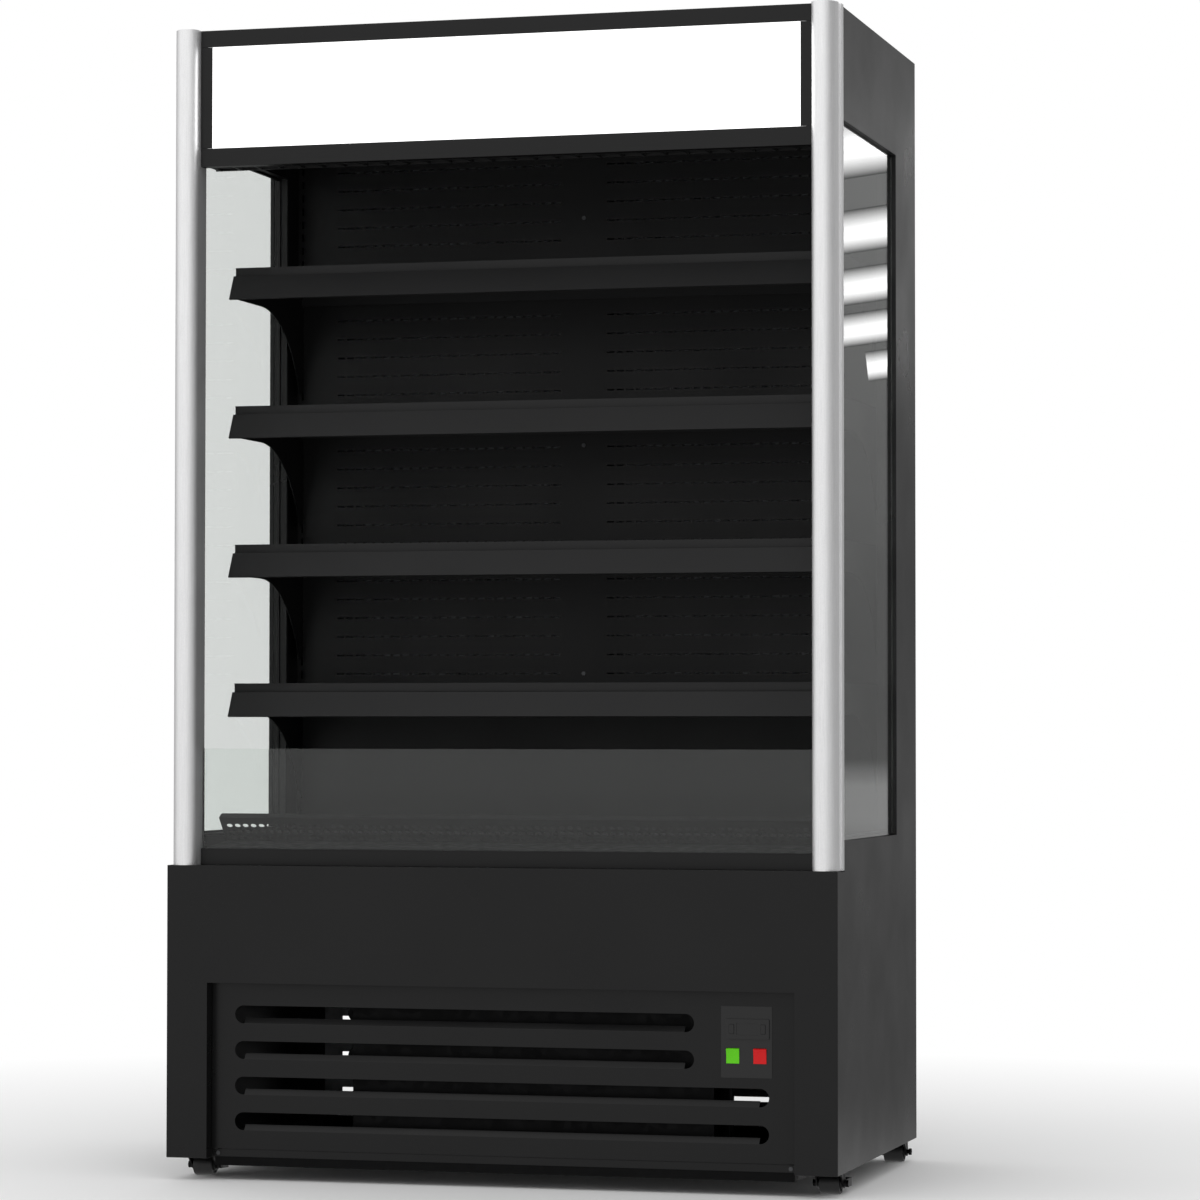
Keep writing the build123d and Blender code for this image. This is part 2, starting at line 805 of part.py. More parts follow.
# ------------------------------------------------------------------ controls
def make_control_housing():
    """Bezel with switch surrounds in front, open box behind."""
    box_width = bezel_width - 2 * (housing_inset + fit_gap)
    box_height = bezel_height - 2 * (housing_inset + fit_gap)
    switch_width = rocker_width + 2 * rim_gap
    switch_height = rocker_height + 2 * rim_gap
    reach = switch_width / 2 + surround_wall
    with BuildPart() as housing:
        with BuildSketch(facing(bezel_face)):
            with Locations((bezel_x, bezel_z)):
                Rectangle(bezel_width, bezel_height)
        extrude(amount=-bezel_proud)
        with BuildSketch(facing(recess_depth)):
            with Locations((bezel_x, bezel_z)):
                Rectangle(box_width, box_height)
        extrude(amount=-housing_depth)
        with BuildSketch(facing(bezel_face + housing_wall)):
            with Locations((bezel_x, bezel_z)):
                Rectangle(box_width - 2 * housing_wall, box_height - 2 * housing_wall)
        extrude(amount=-housing_depth, mode=Mode.SUBTRACT)
        with BuildSketch(facing(bezel_face)):
            for x in (rocker_green_x, rocker_red_x):
                with Locations((x, rocker_z)):
                    Rectangle(2 * reach, switch_height + 2 * surround_wall)
        extrude(amount=-surround_depth)
        with BuildSketch(facing(bezel_face)):
            for x in (rocker_green_x, rocker_red_x):
                with Locations((x, rocker_z)):
                    Rectangle(switch_width, switch_height)
        extrude(amount=-surround_depth, mode=Mode.SUBTRACT)
        with BuildSketch(facing(bezel_face)):
            with Locations((controller_x, controller_z)):
                Rectangle(
                    controller_body_width + 2 * fit_gap, controller_body_height + 2 * fit_gap
                )
        extrude(amount=-housing_wall, mode=Mode.SUBTRACT)
        for x in (rocker_green_x, rocker_red_x):
            with BuildSketch(across(x - reach)):
                with Locations((back(bezel_face + rocker_pivot), rocker_z)):
                    Circle(trunnion_radius + running_gap)
            extrude(amount=2 * reach, mode=Mode.SUBTRACT)
    return housing


def make_controller():
    """Panel thermostat: bezel with a sunk display and two key pockets, body behind."""
    with BuildPart() as controller:
        with BuildSketch(facing(controller_face)):
            with Locations((controller_x, controller_z)):
                RectangleRounded(controller_width, controller_height, controller_corner)
        extrude(amount=-controller_proud)
        with BuildSketch(facing(bezel_face)):
            with Locations((controller_x, controller_z)):
                Rectangle(controller_body_width, controller_body_height)
        extrude(amount=-controller_body_depth)
        with BuildSketch(facing(controller_face)):
            with Locations((controller_x, controller_z)):
                Rectangle(display_width, display_height)
        extrude(amount=-display_depth, mode=Mode.SUBTRACT)
        with BuildSketch(facing(controller_face)):
            for side in (-1, 1):
                with Locations((controller_x + side * key_spread, controller_z)):
                    RectangleRounded(
                        key_width + 2 * rim_gap, key_height + 2 * rim_gap, key_corner + rim_gap
                    )
        extrude(amount=-(key_depth + key_travel + fit_gap), mode=Mode.SUBTRACT)
    return controller


def make_controller_key(side):
    """Key that slides into its pocket in the controller."""
    with BuildPart() as key:
        with BuildSketch(facing(controller_face - key_proud)):
            with Locations((controller_x + side * key_spread, controller_z)):
                RectangleRounded(key_width, key_height, key_corner)
        extrude(amount=-(key_proud + key_depth))
    return key


def make_rocker(x):
    """Rocker with a shallow V face; its lower half lies level with the bezel."""
    half = rocker_height / 2
    pivot = bezel_face + rocker_pivot
    front = rocker_pivot + rocker_level
    reach = rocker_width / 2 + trunnion_length

    def tilted(ahead, up):
        """Corner of the raised half, from its place when that half lies level."""
        tilt = radians(2 * rocker_tilt)
        place = pivot - ahead * cos(tilt) - up * sin(tilt)
        return place, rocker_z - ahead * sin(tilt) + up * cos(tilt)

    with BuildPart() as rocker:
        with BuildSketch(across(x - rocker_width / 2)):
            outline(
                [
                    (pivot - front, rocker_z - front * tan(radians(rocker_tilt))),
                    tilted(front, half),
                    tilted(0, half),
                    (pivot + rocker_hub, rocker_z),
                    (pivot, rocker_z - half),
                    (pivot - front, rocker_z - half),
                ]
            )
        extrude(amount=rocker_width)
        with BuildSketch(across(x - reach)):
            with Locations((back(pivot), rocker_z)):
                Circle(trunnion_radius)
        extrude(amount=2 * reach)
    return rocker


# ------------------------------------------------------------------ insulated body and back
def make_insulated_body():
    """Foamed tub: front wall, floor over the machine space, and the full-height rear wall."""
    pressing_high = side_top - pressing_drop
    with BuildPart() as body:
        with BuildSketch(across(-body_half)):
            outline(
                [
                    (seam_front, tub_under),
                    (rear_skin, tub_under),
                    (rear_skin, roof_under - fit_gap),
                    (rear_wall_front, roof_under - fit_gap),
                    (rear_wall_front, tub_floor),
                    (tub_front_wall, tub_floor),
                    (tub_front_wall, flange_low),
                    (seam_front, flange_low),
                ]
            )
        extrude(amount=2 * body_half)
        with BuildSketch(facing(rear_skin)):
            for side in (-1, 1):
                with Locations((side * body_half / 2, (pressing_low + pressing_high) / 2)):
                    Rectangle(body_half - pressing_gap, pressing_high - pressing_low)
        extrude(amount=pressing_depth, mode=Mode.SUBTRACT)
    return body


def make_rear_vent_panel():
    """Slotted cover over the back of the machine space, folded in at the top."""
    high = tub_under - fit_gap
    fold_end = half_width - rear_flange - fit_gap
    column_pitch = 2 * (half_width - vent_margin) / (vent_columns - 1)
    row_middle = vent_row_low + vent_row_pitch * (vent_rows - 1) / 2
    with BuildPart() as panel:
        with BuildSketch(across(-fold_end)):
            folded(
                [(vent_face, cladding_gap), (vent_face, high), (vent_face - vent_fold, high)], sheet
            )
        extrude(amount=2 * fold_end)
        with BuildSketch(facing(vent_face)):
            with Locations((0, cladding_gap)):
                Rectangle(2 * body_half, high - cladding_gap, align=(Align.CENTER, Align.MIN))
        extrude(amount=sheet)
        with BuildSketch(facing(vent_face)):
            with Locations((0, row_middle)):
                with GridLocations(column_pitch, vent_row_pitch, vent_columns, vent_rows):
                    Rectangle(vent_length, vent_height)
        extrude(amount=2 * sheet, mode=Mode.SUBTRACT)
    return panel


def make_back_panel():
    """Perforated panel in front of the rear air duct."""
    block_outer = half_width - air_block_margin
    pitch = (block_outer - air_block_inner + air_slot_gap) / air_slots
    row_high = back_high - air_row_drop
    row_pitch = (row_high - air_row_low) / (air_rows - 1)
    with BuildPart() as panel:
        with BuildSketch(Plane.XY.offset(back_low)):
            bent(
                [
                    (-back_half, back(back_face + back_fold)),
                    (-back_half, back(back_face)),
                    (back_half, back(back_face)),
                    (back_half, back(back_face + back_fold)),
                ],
                sheet,
            )
        extrude(amount=back_high - back_low)
        with BuildSketch(facing(back_face)):
            for side in (-1, 1):
                x = side * (air_block_inner + block_outer) / 2
                with Locations((x, (air_row_low + row_high) / 2)):
                    with GridLocations(pitch, row_pitch, air_slots, air_rows):
                        Rectangle(pitch - air_slot_gap, air_slot_height)
        extrude(amount=-2 * sheet, mode=Mode.SUBTRACT)
    return panel


def ladder():
    """Middle height and number of the slots in an upright, in step with the shelf hooks."""
    first = shelf_top - tongue_rise + ladder_slot / 2
    above = floor((back_high - ladder_margin - first) / ladder_pitch)
    below = floor((first - deck_top - ladder_margin) / ladder_pitch)
    return first + ladder_pitch * (above - below) / 2, above + below + 1


def make_uprights():
    """Slotted channels that carry the shelf brackets."""
    middle, count = ladder()
    with BuildPart() as uprights:
        for side in (-1, 1):
            ends = sorted((side * upright_inner, side * wall_inner))
            with BuildSketch(Plane.XY.offset(tub_floor + fit_gap)):
                bent(
                    [
                        (ends[0], back(back_face + upright_depth)),
                        (ends[0], back(back_face)),
                        (ends[1], back(back_face)),
                        (ends[1], back(back_face + upright_depth)),
                    ],
                    upright_sheet,
                )
            extrude(amount=back_high - tub_floor - fit_gap)
            with BuildSketch(facing(back_face)):
                with Locations((side * bracket_half, middle)):
                    with GridLocations(ladder_pitch, ladder_pitch, 1, count):
                        Rectangle(ladder_slot_width, ladder_slot)
            extrude(amount=-upright_sheet, mode=Mode.SUBTRACT)
    return uprights


# ------------------------------------------------------------------ shelves
def rail_seat(z, top):
    """Distance behind the front of the seat behind the ticket rail, at height z."""
    slope = rail_lean / rail_drop
    length = sqrt(rail_lean**2 + rail_drop**2)
    clear = (sheet + fit_gap) * length / rail_drop
    return ledge_front + clear - slope * (top - shelf_nose - fit_gap - z)


def make_shelf(top):
    """Folded tray shelf with stiffening channels below."""
    with BuildPart() as shelf:
        with BuildSketch(across(-plate_half)):
            field((shelf_front, top - sheet), (shelf_rear, top))
        extrude(amount=2 * plate_half)
        with BuildSketch(across(-shelf_half)):
            folded(
                [
                    (shelf_rear, top - shelf_rear_fold),
                    (shelf_rear, top),
                    (shelf_front, top),
                    (shelf_front, top - shelf_nose),
                ],
                sheet,
            )
        extrude(amount=2 * shelf_half)
        for side in (-1, 1):
            x = side * shelf_rib_x
            reach = shelf_rib_width / 2
            with BuildSketch(across(side * shelf_half)):
                field(
                    (shelf_front + 2 * (sheet + fit_gap), top - shelf_side_fold),
                    (shelf_rear, top),
                )
            extrude(amount=-side * sheet)
            with BuildSketch(facing(shelf_front + shelf_rib_lead)):
                bent(
                    [
                        (x - reach, top - sheet),
                        (x - reach, top - shelf_rib - sheet),
                        (x + reach, top - shelf_rib - sheet),
                        (x + reach, top - sheet),
                    ],
                    sheet,
                )
            extrude(amount=shelf_front + shelf_rib_lead - (shelf_rear - shelf_rib_end))
    return shelf


def make_shelf_brackets(top):
    """Swept cantilever brackets with two hooks each in the uprights."""
    crest = top - sheet
    under = top - bracket_depth
    seat = top - shelf_nose - 2 * (sheet + fit_gap)
    rear = back_face - fit_gap
    nose = shelf_front + sheet + fit_gap
    reach = bracket_tail - bracket_straight
    fall = bracket_drop - bracket_toe - bracket_depth
    radius = (reach**2 + fall**2) / (2 * fall)
    start = degrees(atan2(radius - fall, reach))
    behind = back_face + upright_sheet + fit_gap
    with BuildPart() as brackets:
        for side in (-1, 1):
            with BuildSketch(across(side * (bracket_half - bracket_thick / 2))):
                with BuildLine():
                    CenterArc(
                        (back(bracket_straight), under - radius),
                        radius,
                        start,
                        90 - start,
                    )
                    Polyline(
                        (back(bracket_straight), under),
                        (back(rail_seat(under, top)), under),
                        (back(rail_seat(seat, top)), seat),
                        (back(nose), seat),
                        (back(nose), crest),
                        (back(rear), crest),
                        (back(rear), top - bracket_drop),
                        (back(bracket_tail), top - bracket_drop),
                        (back(bracket_tail), under - fall),
                    )
                make_face()
                for drop in (0, tongue_pitch):
                    low = top - tongue_rise - drop + fit_gap
                    high = low + tongue_neck
                    field((rear, low), (behind + tongue_thick, high))
                    field((behind, low - tongue_hook), (behind + tongue_thick, high))
            extrude(amount=side * bracket_thick)
    return brackets


def make_ticket_rail(top):
    """Leaning ticket rail hung behind the shelf nose."""
    ledge = top - shelf_nose - fit_gap
    leg = shelf_front + sheet + fit_gap
    face_low = (ledge_front - rail_lean, ledge - rail_drop)
    with BuildPart() as rail:
        with BuildSketch(across(-shelf_half)):
            folded(
                [(leg, ledge + rail_leg), (leg, ledge), (ledge_front, ledge), face_low], sheet
            )
        extrude(amount=2 * shelf_half)
        with BuildSketch(across(-plate_half)):
            folded(
                [(ledge_front, ledge), face_low, (face_low[0] + rail_lip, face_low[1] - sheet)],
                sheet,
            )
        extrude(amount=2 * plate_half)
    return rail


# ------------------------------------------------------------------ deck, return grille, front glass
def slope_behind(z):
    """Distance behind the front of the back of the return grille, at height z."""
    run = grille_foot[0] - grille_nose[0]
    drop = grille_nose[1] - grille_foot[1]
    length = sqrt(run**2 + drop**2)
    return grille_nose[0] + run * (grille_nose[1] - z) / drop + sheet * length / drop


def make_base_deck():
    """Lift-out deck over the evaporator, folded down at the back, with ribs below."""
    half = wall_inner - deck_gap
    front = slope_behind(deck_top - sheet) + fit_gap
    with BuildPart() as deck:
        with BuildSketch(across(-half)):
            folded(
                [(shelf_rear, deck_under), (shelf_rear, deck_top), (front, deck_top)],
                sheet,
            )
            for d in (fan_plate_place - deck_rib_lead, shelf_rear - deck_rib_back):
                folded(
                    [
                        (d, deck_top - sheet),
                        (d, deck_under),
                        (d + deck_rib_width, deck_under),
                        (d + deck_rib_width, deck_top - sheet),
                    ],
                    sheet,
                )
        extrude(amount=2 * half)
    return deck


def make_return_grille():
    """Folded return-air grille with rows of holes in its leaning face."""
    run = grille_foot[0] - grille_nose[0]
    drop = grille_nose[1] - grille_foot[1]
    share = grille_row_mid / sqrt(run**2 + drop**2)
    middle = (0, back(grille_nose[0] + run * share), grille_nose[1] - drop * share)
    grille_half = half_width - grille_margin
    columns = floor(2 * (grille_half - grille_hole) / grille_pitch)
    with BuildPart() as grille:
        with BuildSketch(across(-grille_half)):
            folded([grille_lip, grille_nose, grille_foot, grille_toe], sheet)
        extrude(amount=2 * grille_half)
        with BuildSketch(Plane(origin=middle, x_dir=(1, 0, 0), z_dir=(0, -drop, -run))):
            with GridLocations(grille_pitch, grille_row_pitch, columns, grille_rows):
                RegularPolygon(grille_hole / 2, 6)
        extrude(amount=2 * sheet, both=True, mode=Mode.SUBTRACT)
    return grille


def make_front_glass():
    """Low front pane standing in its rail."""
    low = base_top + rail_height - glass_sit + fit_gap
    glass_half = between_posts - glass_margin
    with BuildPart() as glass:
        with BuildSketch(across(-glass_half)):
            field((glass_front, low), (glass_front + glass_thick, glass_top))
        extrude(amount=2 * glass_half)
    return glass


def make_glass_rail():
    """Rail on the base top, with a slot for the pane and a raised front lip."""
    slot_front = glass_front - fit_gap
    slot_rear = glass_front + glass_thick + fit_gap
    slot_floor = base_top + rail_height - glass_sit
    with BuildPart() as rail:
        with BuildSketch(across(-between_posts)):
            outline(
                [
                    (rail_front, base_top),
                    (rail_rear, base_top),
                    (rail_rear, base_top + rail_height),
                    (slot_rear, base_top + rail_height),
                    (slot_rear, slot_floor),
                    (slot_front, slot_floor),
                    (slot_front, base_top + rail_lip_height),
                    (rail_front, base_top + rail_lip_height),
                ]
            )
        extrude(amount=2 * between_posts)
    return rail


# ------------------------------------------------------------------ canopy and header
def make_canopy():
    """Foamed roof, the wall behind the header, and the air duct with its sloping ceiling."""
    duct_front = outlet_rear + fit_gap
    roof_front = post_depth + fit_gap
    duct_rear = rear_wall_front - fit_gap
    with BuildPart() as canopy:
        with BuildSketch(across(-body_half)):
            field((roof_front, roof_under), (rear_skin, side_top))
            folded(
                [
                    (back_face, ceiling_rear),
                    (duct_front, ceiling_front),
                    (duct_front, outlet_low),
                ],
                sheet,
            )
        extrude(amount=2 * body_half)
        with BuildSketch(across(-between_posts)):
            field((drop_front, drop_low), (drop_front + drop_wall, header_high))
        extrude(amount=2 * between_posts)
        for side in (-1, 1):
            with BuildSketch(across(side * body_half)):
                outline(
                    [
                        (roof_front, drop_low),
                        (duct_front, ceiling_front),
                        (back_face, ceiling_rear),
                        (duct_rear, ceiling_rear),
                        (duct_rear, roof_under),
                        (roof_front, roof_under),
                    ]
                )
            extrude(amount=-side * duct_end)
            # the end of the wall behind the header reaches the end plate of the duct
            ends = sorted((side * between_posts, side * body_half))
            with BuildSketch(across(ends[0])):
                field((roof_front, drop_low), (drop_front + drop_wall, roof_under))
            extrude(amount=ends[1] - ends[0])
    return canopy


def make_header_frame():
    """Folded upper and lower rails with the strips beside the light panel."""
    low_top = header_low + header_low_rail
    rear = header_front + header_rail_depth
    with BuildPart() as header:
        with BuildSketch(across(-between_posts)):
            folded(
                [
                    (header_front, low_top),
                    (header_front, header_low),
                    (rear, header_low),
                    (rear, header_low + header_back_fold),
                ],
                sheet,
            )
            folded(
                [
                    (post_depth, height - header_back_fold),
                    (post_depth, height),
                    (header_front, height),
                    (header_front, header_high),
                ],
                sheet,
            )
        extrude(amount=2 * between_posts)
        for side in (-1, 1):
            corners = [
                (side * (between_posts - header_strip), back(header_front)),
                (side * between_posts, back(header_front)),
                (side * between_posts, back(rear)),
            ]
            with BuildSketch(Plane.XY.offset(low_top + fit_gap)):
                bent(corners if side > 0 else corners[::-1], sheet)
            extrude(amount=header_high - low_top - 2 * fit_gap)
    return header


def make_header_diffuser():
    """Opal light panel behind the frame."""
    low = header_low + header_low_rail - diffuser_lap
    high = header_high + diffuser_lap
    with BuildPart() as diffuser:
        with BuildSketch(facing(header_front + sheet + fit_gap)):
            with Locations((0, (low + high) / 2)):
                Rectangle(2 * (window_half + diffuser_lap), high - low)
        extrude(amount=-diffuser_thick)
    return diffuser


def make_header_lamp():
    """Lamp batten on the wall behind the light panel."""
    lamp_half = between_posts - lamp_margin
    lamp_z = height - lamp_drop
    with BuildPart() as lamp:
        with BuildSketch(across(-lamp_half)):
            field(
                (drop_front - lamp_depth, lamp_z - lamp_height / 2),
                (drop_front, lamp_z + lamp_height / 2),
            )
            fillet(vertices().group_by(Axis.X)[0], lamp_round)
        extrude(amount=2 * lamp_half)
    return lamp


def make_honeycomb():
    """Air outlet: a deep frame round a grid of cells."""
    front = header_front + header_rail_depth + fit_gap
    cell_width = 2 * (between_posts - outlet_web) / outlet_columns
    cell_length = (outlet_rear - front - outlet_web) / outlet_rows
    middle = back((front + outlet_rear) / 2)
    with BuildPart() as outlet:
        with BuildSketch(Plane.XY.offset(outlet_low)):
            with Locations((0, middle)):
                Rectangle(2 * between_posts, outlet_rear - front)
        extrude(amount=ceiling_front - outlet_low - fit_gap)
        with BuildSketch(Plane.XY.offset(outlet_low + outlet_cell_depth)):
            with Locations((0, middle)):
                Rectangle(2 * (between_posts - outlet_web), outlet_rear - front - 2 * outlet_web)
        extrude(amount=ceiling_front - outlet_low, mode=Mode.SUBTRACT)
        with BuildSketch(Plane.XY.offset(outlet_low)):
            with Locations((0, middle)):
                with GridLocations(cell_width, cell_length, outlet_columns, outlet_rows):
                    Rectangle(cell_width - outlet_web, cell_length - outlet_web)
        extrude(amount=outlet_cell_depth, mode=Mode.SUBTRACT)
    return outlet


# ------------------------------------------------------------------ fans
def blade_plane(hub, turn):
    """Plane of a flat blade through the hub; its X runs outward and its Y along the chord."""
    x, d, z = hub
    out = (cos(radians(turn)), sin(radians(turn)))
    lean = radians(blade_pitch)
    face = (-out[1] * sin(lean), -cos(lean), out[0] * sin(lean))
    return Plane(origin=(x, back(d), z), x_dir=(out[0], 0, out[1]), z_dir=face)


def make_fan(hub, hub_radius, hub_depth, tip, root_chord, tip_chord, shaft):
    """Axial fan: bored hub with pitched blades that widen to the tip."""
    x, d, z = hub
    root = hub_radius - blade_thick
    with BuildPart() as fan:
        with BuildSketch(facing(d - hub_depth / 2)):
            with Locations((x, z)):
                Circle(hub_radius)
        extrude(amount=-hub_depth)
        for i in range(blade_count):
            with BuildSketch(blade_plane(hub, 360.0 * i / blade_count)):
                with BuildLine():
                    Polyline(
                        (root, -root_chord / 2),
                        (tip, -tip_chord / 2),
                        (tip, tip_chord / 2),
                        (root, root_chord / 2),
                        close=True,
                    )
                make_face()
            extrude(amount=blade_thick / 2, both=True)
        with BuildSketch(facing(d - hub_depth / 2)):
            with Locations((x, z)):
                Circle(shaft + running_gap)
        extrude(amount=-hub_depth, mode=Mode.SUBTRACT)
    return fan


def add_fan_carrier(hub, hub_depth, opening, plate, collar, motor, motor_length, bar, shaft):
    """Collar, crossed struts, motor and shaft behind an opening, added to the piece in hand."""
    x, d, z = hub
    struts = plate + collar - bar
    with BuildSketch(facing(plate)) as ring:
        with Locations((x, z)):
            Circle(opening + shroud_skin)
            Circle(opening, mode=Mode.SUBTRACT)
    with BuildSketch(facing(struts)) as cross:
        with Locations((x, z)):
            Rectangle(2 * opening + shroud_skin, bar)
            Rectangle(bar, 2 * opening + shroud_skin)
    with BuildSketch(facing(struts)) as body:
        with Locations((x, z)):
            Circle(motor)
    with BuildSketch(facing(struts)) as spindle:
        with Locations((x, z)):
            Circle(shaft)
    extrude(ring.sketch, amount=-collar)
    extrude(cross.sketch, amount=-bar)
    extrude(body.sketch, amount=-motor_length)
    extrude(spindle.sketch, amount=struts - (d - hub_depth / 2))


# ------------------------------------------------------------------ refrigeration
def make_condenser():
    """Fin block between end plates, with return bends at one end."""
    left = condenser_left + coil_end
    right = condenser_right - coil_end
    middle_x = (left + right) / 2
    pitch = (condenser_top - tray_floor) / bend_count
    y = back(condenser_front + condenser_depth / 2)
    with BuildPart() as condenser:
        with BuildSketch(facing(condenser_front)):
            with Locations((middle_x, tray_floor + coil_foot)):
                Rectangle(
                    right - left - 2 * end_plate,
                    condenser_top - tray_floor - 2 * coil_foot,
                    align=(Align.CENTER, Align.MIN),
                )
        extrude(amount=fit_gap - condenser_depth)
        for x in (left, right - end_plate):
            with BuildSketch(across(x)):
                field((condenser_front, tray_floor), (shroud_front - fit_gap, condenser_top))
            extrude(amount=end_plate)
        for i in range(bend_count):
            z = tray_floor + pitch * (i + 1 / 2)
            with BuildSketch(across(left)):
                with Locations((y, z + bend_radius)):
                    Rectangle(2 * tube_radius, 2 * tube_radius)
            revolve(axis=Axis((left, y, z), (0, -1, 0)), revolution_arc=180)
    return condenser


def make_fan_shroud():
    """Shroud behind the condenser, with the fan opening, collar, struts and motor."""
    hub = (fan_x, fan_middle, fan_z)
    opening = fan_tip + fan_tip_gap
    middle_x = (condenser_left + condenser_right) / 2
    span = condenser_right - condenser_left
    rise = condenser_top - tray_floor
    from_below = (Align.CENTER, Align.MIN)
    with BuildPart() as shroud:
        with BuildSketch(facing(shroud_front)):
            with Locations((middle_x, tray_floor)):
                Rectangle(span, rise, align=from_below)
        extrude(amount=-shroud_depth - shroud_skin)
        with BuildSketch(facing(shroud_front)):
            with Locations((middle_x, tray_floor + shroud_skin)):
                Rectangle(span - 2 * shroud_skin, rise - 2 * shroud_skin, align=from_below)
        extrude(amount=-shroud_depth, mode=Mode.SUBTRACT)
        with BuildSketch(facing(shroud_plate)):
            with Locations((fan_x, fan_z)):
                Circle(opening)
        extrude(amount=-shroud_skin, mode=Mode.SUBTRACT)
        add_fan_carrier(
            hub, fan_hub_depth, opening, shroud_plate, collar_depth,
            motor_radius, motor_depth, strut, shaft_radius,
        )
    return shroud


def make_compressor():
    """Hermetic compressor shell, many-sided, on its base plate and rubber feet."""
    y = back(depth - compressor_back)
    shell_low = tray_floor + foot_height + tray_sheet
    seam = shell_low + compressor_height / 2
    foot_plate = 2 * (foot_spread + foot_radius)
    straight = compressor_height / 2 - compressor_end
    with BuildPart() as compressor:
        with BuildSketch(Plane.XY.offset(seam)):
            with Locations((compressor_x, y)):
                RegularPolygon(compressor_radius, shell_sides)
        extrude(amount=straight, both=True)
        for z, rise in ((seam + straight, compressor_end), (seam - straight, -compressor_end)):
            with BuildSketch(Plane.XY.offset(z)):
                with Locations((compressor_x, y)):
                    RegularPolygon(compressor_radius, shell_sides)
            extrude(amount=rise, taper=compressor_taper)
        with BuildSketch(Plane.XY.offset(seam)):
            with Locations((compressor_x, y)):
                RegularPolygon(compressor_radius + compressor_seam, shell_sides)
        extrude(amount=compressor_seam)
        with BuildSketch(Plane.XY.offset(tray_floor + foot_height)):
            with Locations((compressor_x, y)):
                Rectangle(foot_plate, foot_plate)
            chamfer(vertices(), foot_radius)
        extrude(amount=tray_sheet)
        with BuildSketch(Plane.XY.offset(tray_floor)):
            with Locations((compressor_x, y)):
                with GridLocations(2 * foot_spread, 2 * foot_spread, 2, 2):
                    RegularPolygon(foot_radius, 8)
        extrude(amount=foot_height)
    return compressor


def make_evaporator():
    """Evaporator coil on the floor of the tub, and the fan plate in front of it."""
    opening = small_fan_tip + small_fan_gap
    with BuildPart() as evaporator:
        with BuildSketch(facing(evaporator_front)):
            with Locations((0, tub_floor + coil_foot)):
                Rectangle(
                    2 * (evaporator_half - end_plate),
                    evaporator_top - tub_floor - coil_foot,
                    align=(Align.CENTER, Align.MIN),
                )
        extrude(amount=evaporator_front - evaporator_rear)
        for side in (-1, 1):
            with BuildSketch(across(side * evaporator_half)):
                field((evaporator_front, tub_floor), (evaporator_rear, evaporator_top))
            extrude(amount=-side * end_plate)
        with BuildSketch(across(-upright_inner)):
            folded(
                [
                    (fan_plate_place + fan_plate_fold, fan_plate_top),
                    (fan_plate_place, fan_plate_top),
                    (fan_plate_place, tub_floor),
                    (fan_plate_place + fan_plate_fold, tub_floor),
                ],
                sheet,
            )
        extrude(amount=2 * upright_inner)
        with BuildSketch(facing(fan_plate_place)):
            with Locations((-small_fan_x, small_fan_z), (small_fan_x, small_fan_z)):
                Circle(opening)
        extrude(amount=-2 * sheet, mode=Mode.SUBTRACT)
        for side in (-1, 1):
            hub = (side * small_fan_x, fan_plate_place + small_hub_depth / 2, small_fan_z)
            add_fan_carrier(
                hub, small_hub_depth, opening, fan_plate_place, small_collar,
                small_motor_radius, small_motor_depth, small_strut, small_shaft,
            )
    return evaporator


# ------------------------------------------------------------------ fasteners
def make_screws():
    """Screws of the panels and bolts of the castor plates."""
    louvre_x = recess_half - 3 * screw_head
    louvre_z = (joggle_top - joggle + panel_low) / 2
    back_pitch = (back_high - back_screw_drop - air_row_low) / (back_screws - 1)
    back_middle = (back_high - back_screw_drop + air_row_low) / 2
    vent_x = half_width - rear_flange + 2 * screw_head
    vent_low = cladding_gap + vent_screw_margin
    vent_high = tub_under - vent_screw_drop
    vent_pitch = (vent_high - vent_low) / (vent_screws - 1)
    bolt_spots = [(x, back(d)) for x, d in castor_spots.values()]
    with BuildPart() as screws:
        with BuildSketch(facing(recess_depth + joggle)):
            with Locations((0, louvre_z)):
                with GridLocations(2 * louvre_x, 1, 2, 1):
                    RegularPolygon(screw_head, 6)
        extrude(amount=screw_head_thick)
        with BuildSketch(facing(back_face)):
            with Locations((0, back_middle)):
                with GridLocations(1, back_pitch, 1, back_screws):
                    RegularPolygon(screw_head, 6)
        extrude(amount=screw_head_thick)
        with BuildSketch(facing(vent_face)):
            with Locations((0, (vent_low + vent_high) / 2)):
                with GridLocations(2 * vent_x, vent_pitch, 2, vent_screws):
                    RegularPolygon(screw_head, 6)
        extrude(amount=-screw_head_thick)
        for corner, run in (
            (bolt_head, bolt_head_thick),
            (bolt_shank, -(tray_sheet + plate_thick + bolt_tail)),
        ):
            with BuildSketch(Plane.XY.offset(castor_height + tray_sheet)):
                for spot in bolt_spots:
                    with Locations(spot):
                        with GridLocations(plate_hole_x, plate_hole_y, 2, 2):
                            RegularPolygon(corner, 6)
            extrude(amount=run)
    return screws


